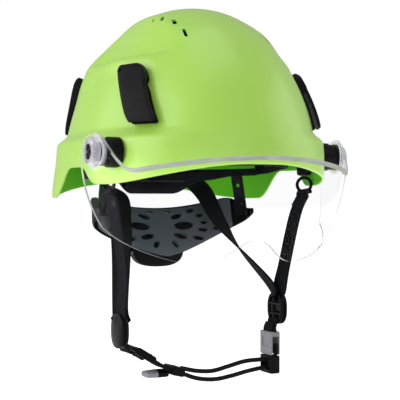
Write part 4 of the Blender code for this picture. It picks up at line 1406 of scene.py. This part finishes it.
def make_plug():
    x, y = BUCKLE_X, CHIN_Y
    top, bottom = BUCKLE_MOUTH_Z - 0.8, BUCKLE_MOUTH_Z - 17.2
    body = pillow((x, y, (top + bottom) / 2), X, Y, (10.5, 21, top - bottom), 1.2, 2.6)
    slot = pillow((x - 3.2, y, bottom + 7.5), Y, Z, (15, 8, 6), 0.4, 1.5)
    piece("buckle_plug_body", body, BLACK, "buckle_male", "chin_strap", 0.3, cuts=[slot])
    guide = pillow((x + 0.5, y, BUCKLE_MOUTH_Z + 4.6), X, Y, (2.4, 4.5, 10), 0.6, 0.9)
    piece("buckle_plug_guide", guide, BLACK, "buckle_guide", "chin_strap")
    for side, word in ((-1, "front"), (1, "rear")):
        spot = Vector((x + 0.5, y + side * 8.6, BUCKLE_MOUTH_Z + 5.2))
        ribs = [pillow(spot + Y * (side * 2.2) + Z * h, X, Z, (2.2, 0.8, 0.7), 0.2, 0.3, 2)
                for h in (-3, -1, 1, 3)]
        tab = merge(pillow(spot, X, Y, (2.6, 4.4, 11), 0.6, 1.0), *ribs)
        piece("buckle_button_%s_tab" % word, tab, BLACK, "buckle_button_" + word, "button_" + word)


make_socket()
make_plug()


# ---- stage
FLOOR_Z = -0.34
FLOOR_REACH = 30.0
FLOOR_GLOW = 0.75
FLOOR_LIGHT = 0.12
SKY_LIGHT = 0.42
# name, place and width in metres, watts
LAMPS = (("side_lamp", (-1.5, -0.1, 0.6), 1.4, 10.5), ("far_lamp", (1.4, -0.5, 0.5), 1.2, 5.0),
         ("top_lamp", (0.0, -0.2, 1.7), 1.2, 5.0), ("front_lamp", (-0.3, -1.7, 0.1), 1.6, 3.5),
         ("rim_lamp", (-1.5, 0.9, 0.4), 1.4, 8.0))


def seen_strength(tree, otherwise, seen):
    """One strength for what is looked at, straight or through the visor, and another for its light."""
    ray = tree.nodes.new("ShaderNodeLightPath")
    looked_at = tree.nodes.new("ShaderNodeMath")
    looked_at.operation = "MAXIMUM"
    tree.links.new(ray.outputs["Is Camera Ray"], looked_at.inputs[0])
    tree.links.new(ray.outputs["Is Transmission Ray"], looked_at.inputs[1])
    strength = tree.nodes.new("ShaderNodeMapRange")
    strength.inputs["To Min"].default_value = otherwise
    strength.inputs["To Max"].default_value = seen
    tree.links.new(looked_at.outputs["Value"], strength.inputs["Value"])
    return strength.outputs["Result"]


def make_stage():
    """A wide pale floor under the helmet."""
    far, low = FLOOR_REACH / MM, FLOOR_Z / MM
    corners = [(-far, -far, low), (far, -far, low), (far, far, low), (-far, far, low)]
    floor = bare("floor", (corners, [(0, 1, 2, 3)], []))
    look = Look("pale_floor", None, (0.93, 0.93, 0.93), 0.9)
    look.shader.inputs["Emission Color"].default_value = (1, 1, 1, 1)
    look.feed(seen_strength(look.tree, FLOOR_LIGHT, FLOOR_GLOW), "Emission Strength")
    look.grain(40, 0.0002, detail=3)
    floor.data.materials.append(look.material)


def make_world():
    """White behind everything, and a dimmer even light from all round."""
    world = bpy.data.worlds.new("studio")
    world.use_nodes = True
    sky = world.node_tree.nodes["Background"]
    sky.inputs["Color"].default_value = (1, 1, 1, 1)
    brightness = seen_strength(world.node_tree, SKY_LIGHT, 1.0)
    world.node_tree.links.new(brightness, sky.inputs["Strength"])
    scene.world = world
    scene.view_settings.view_transform = "Standard"


def make_lamps():
    """Large soft lamps, each aimed at the helmet's middle."""
    for name, place, size, power in LAMPS:
        data = bpy.data.lights.new(name, "AREA")
        data.shape = "SQUARE"
        data.size = size
        data.energy = power
        lamp = bpy.data.objects.new(name, data)
        lamp.location = place
        aim = Vector((0, 0, -0.02)) - lamp.location
        lamp.rotation_euler = aim.to_track_quat("-Z", "Y").to_euler()
        scene.collection.objects.link(lamp)


make_stage()
make_world()
make_lamps()
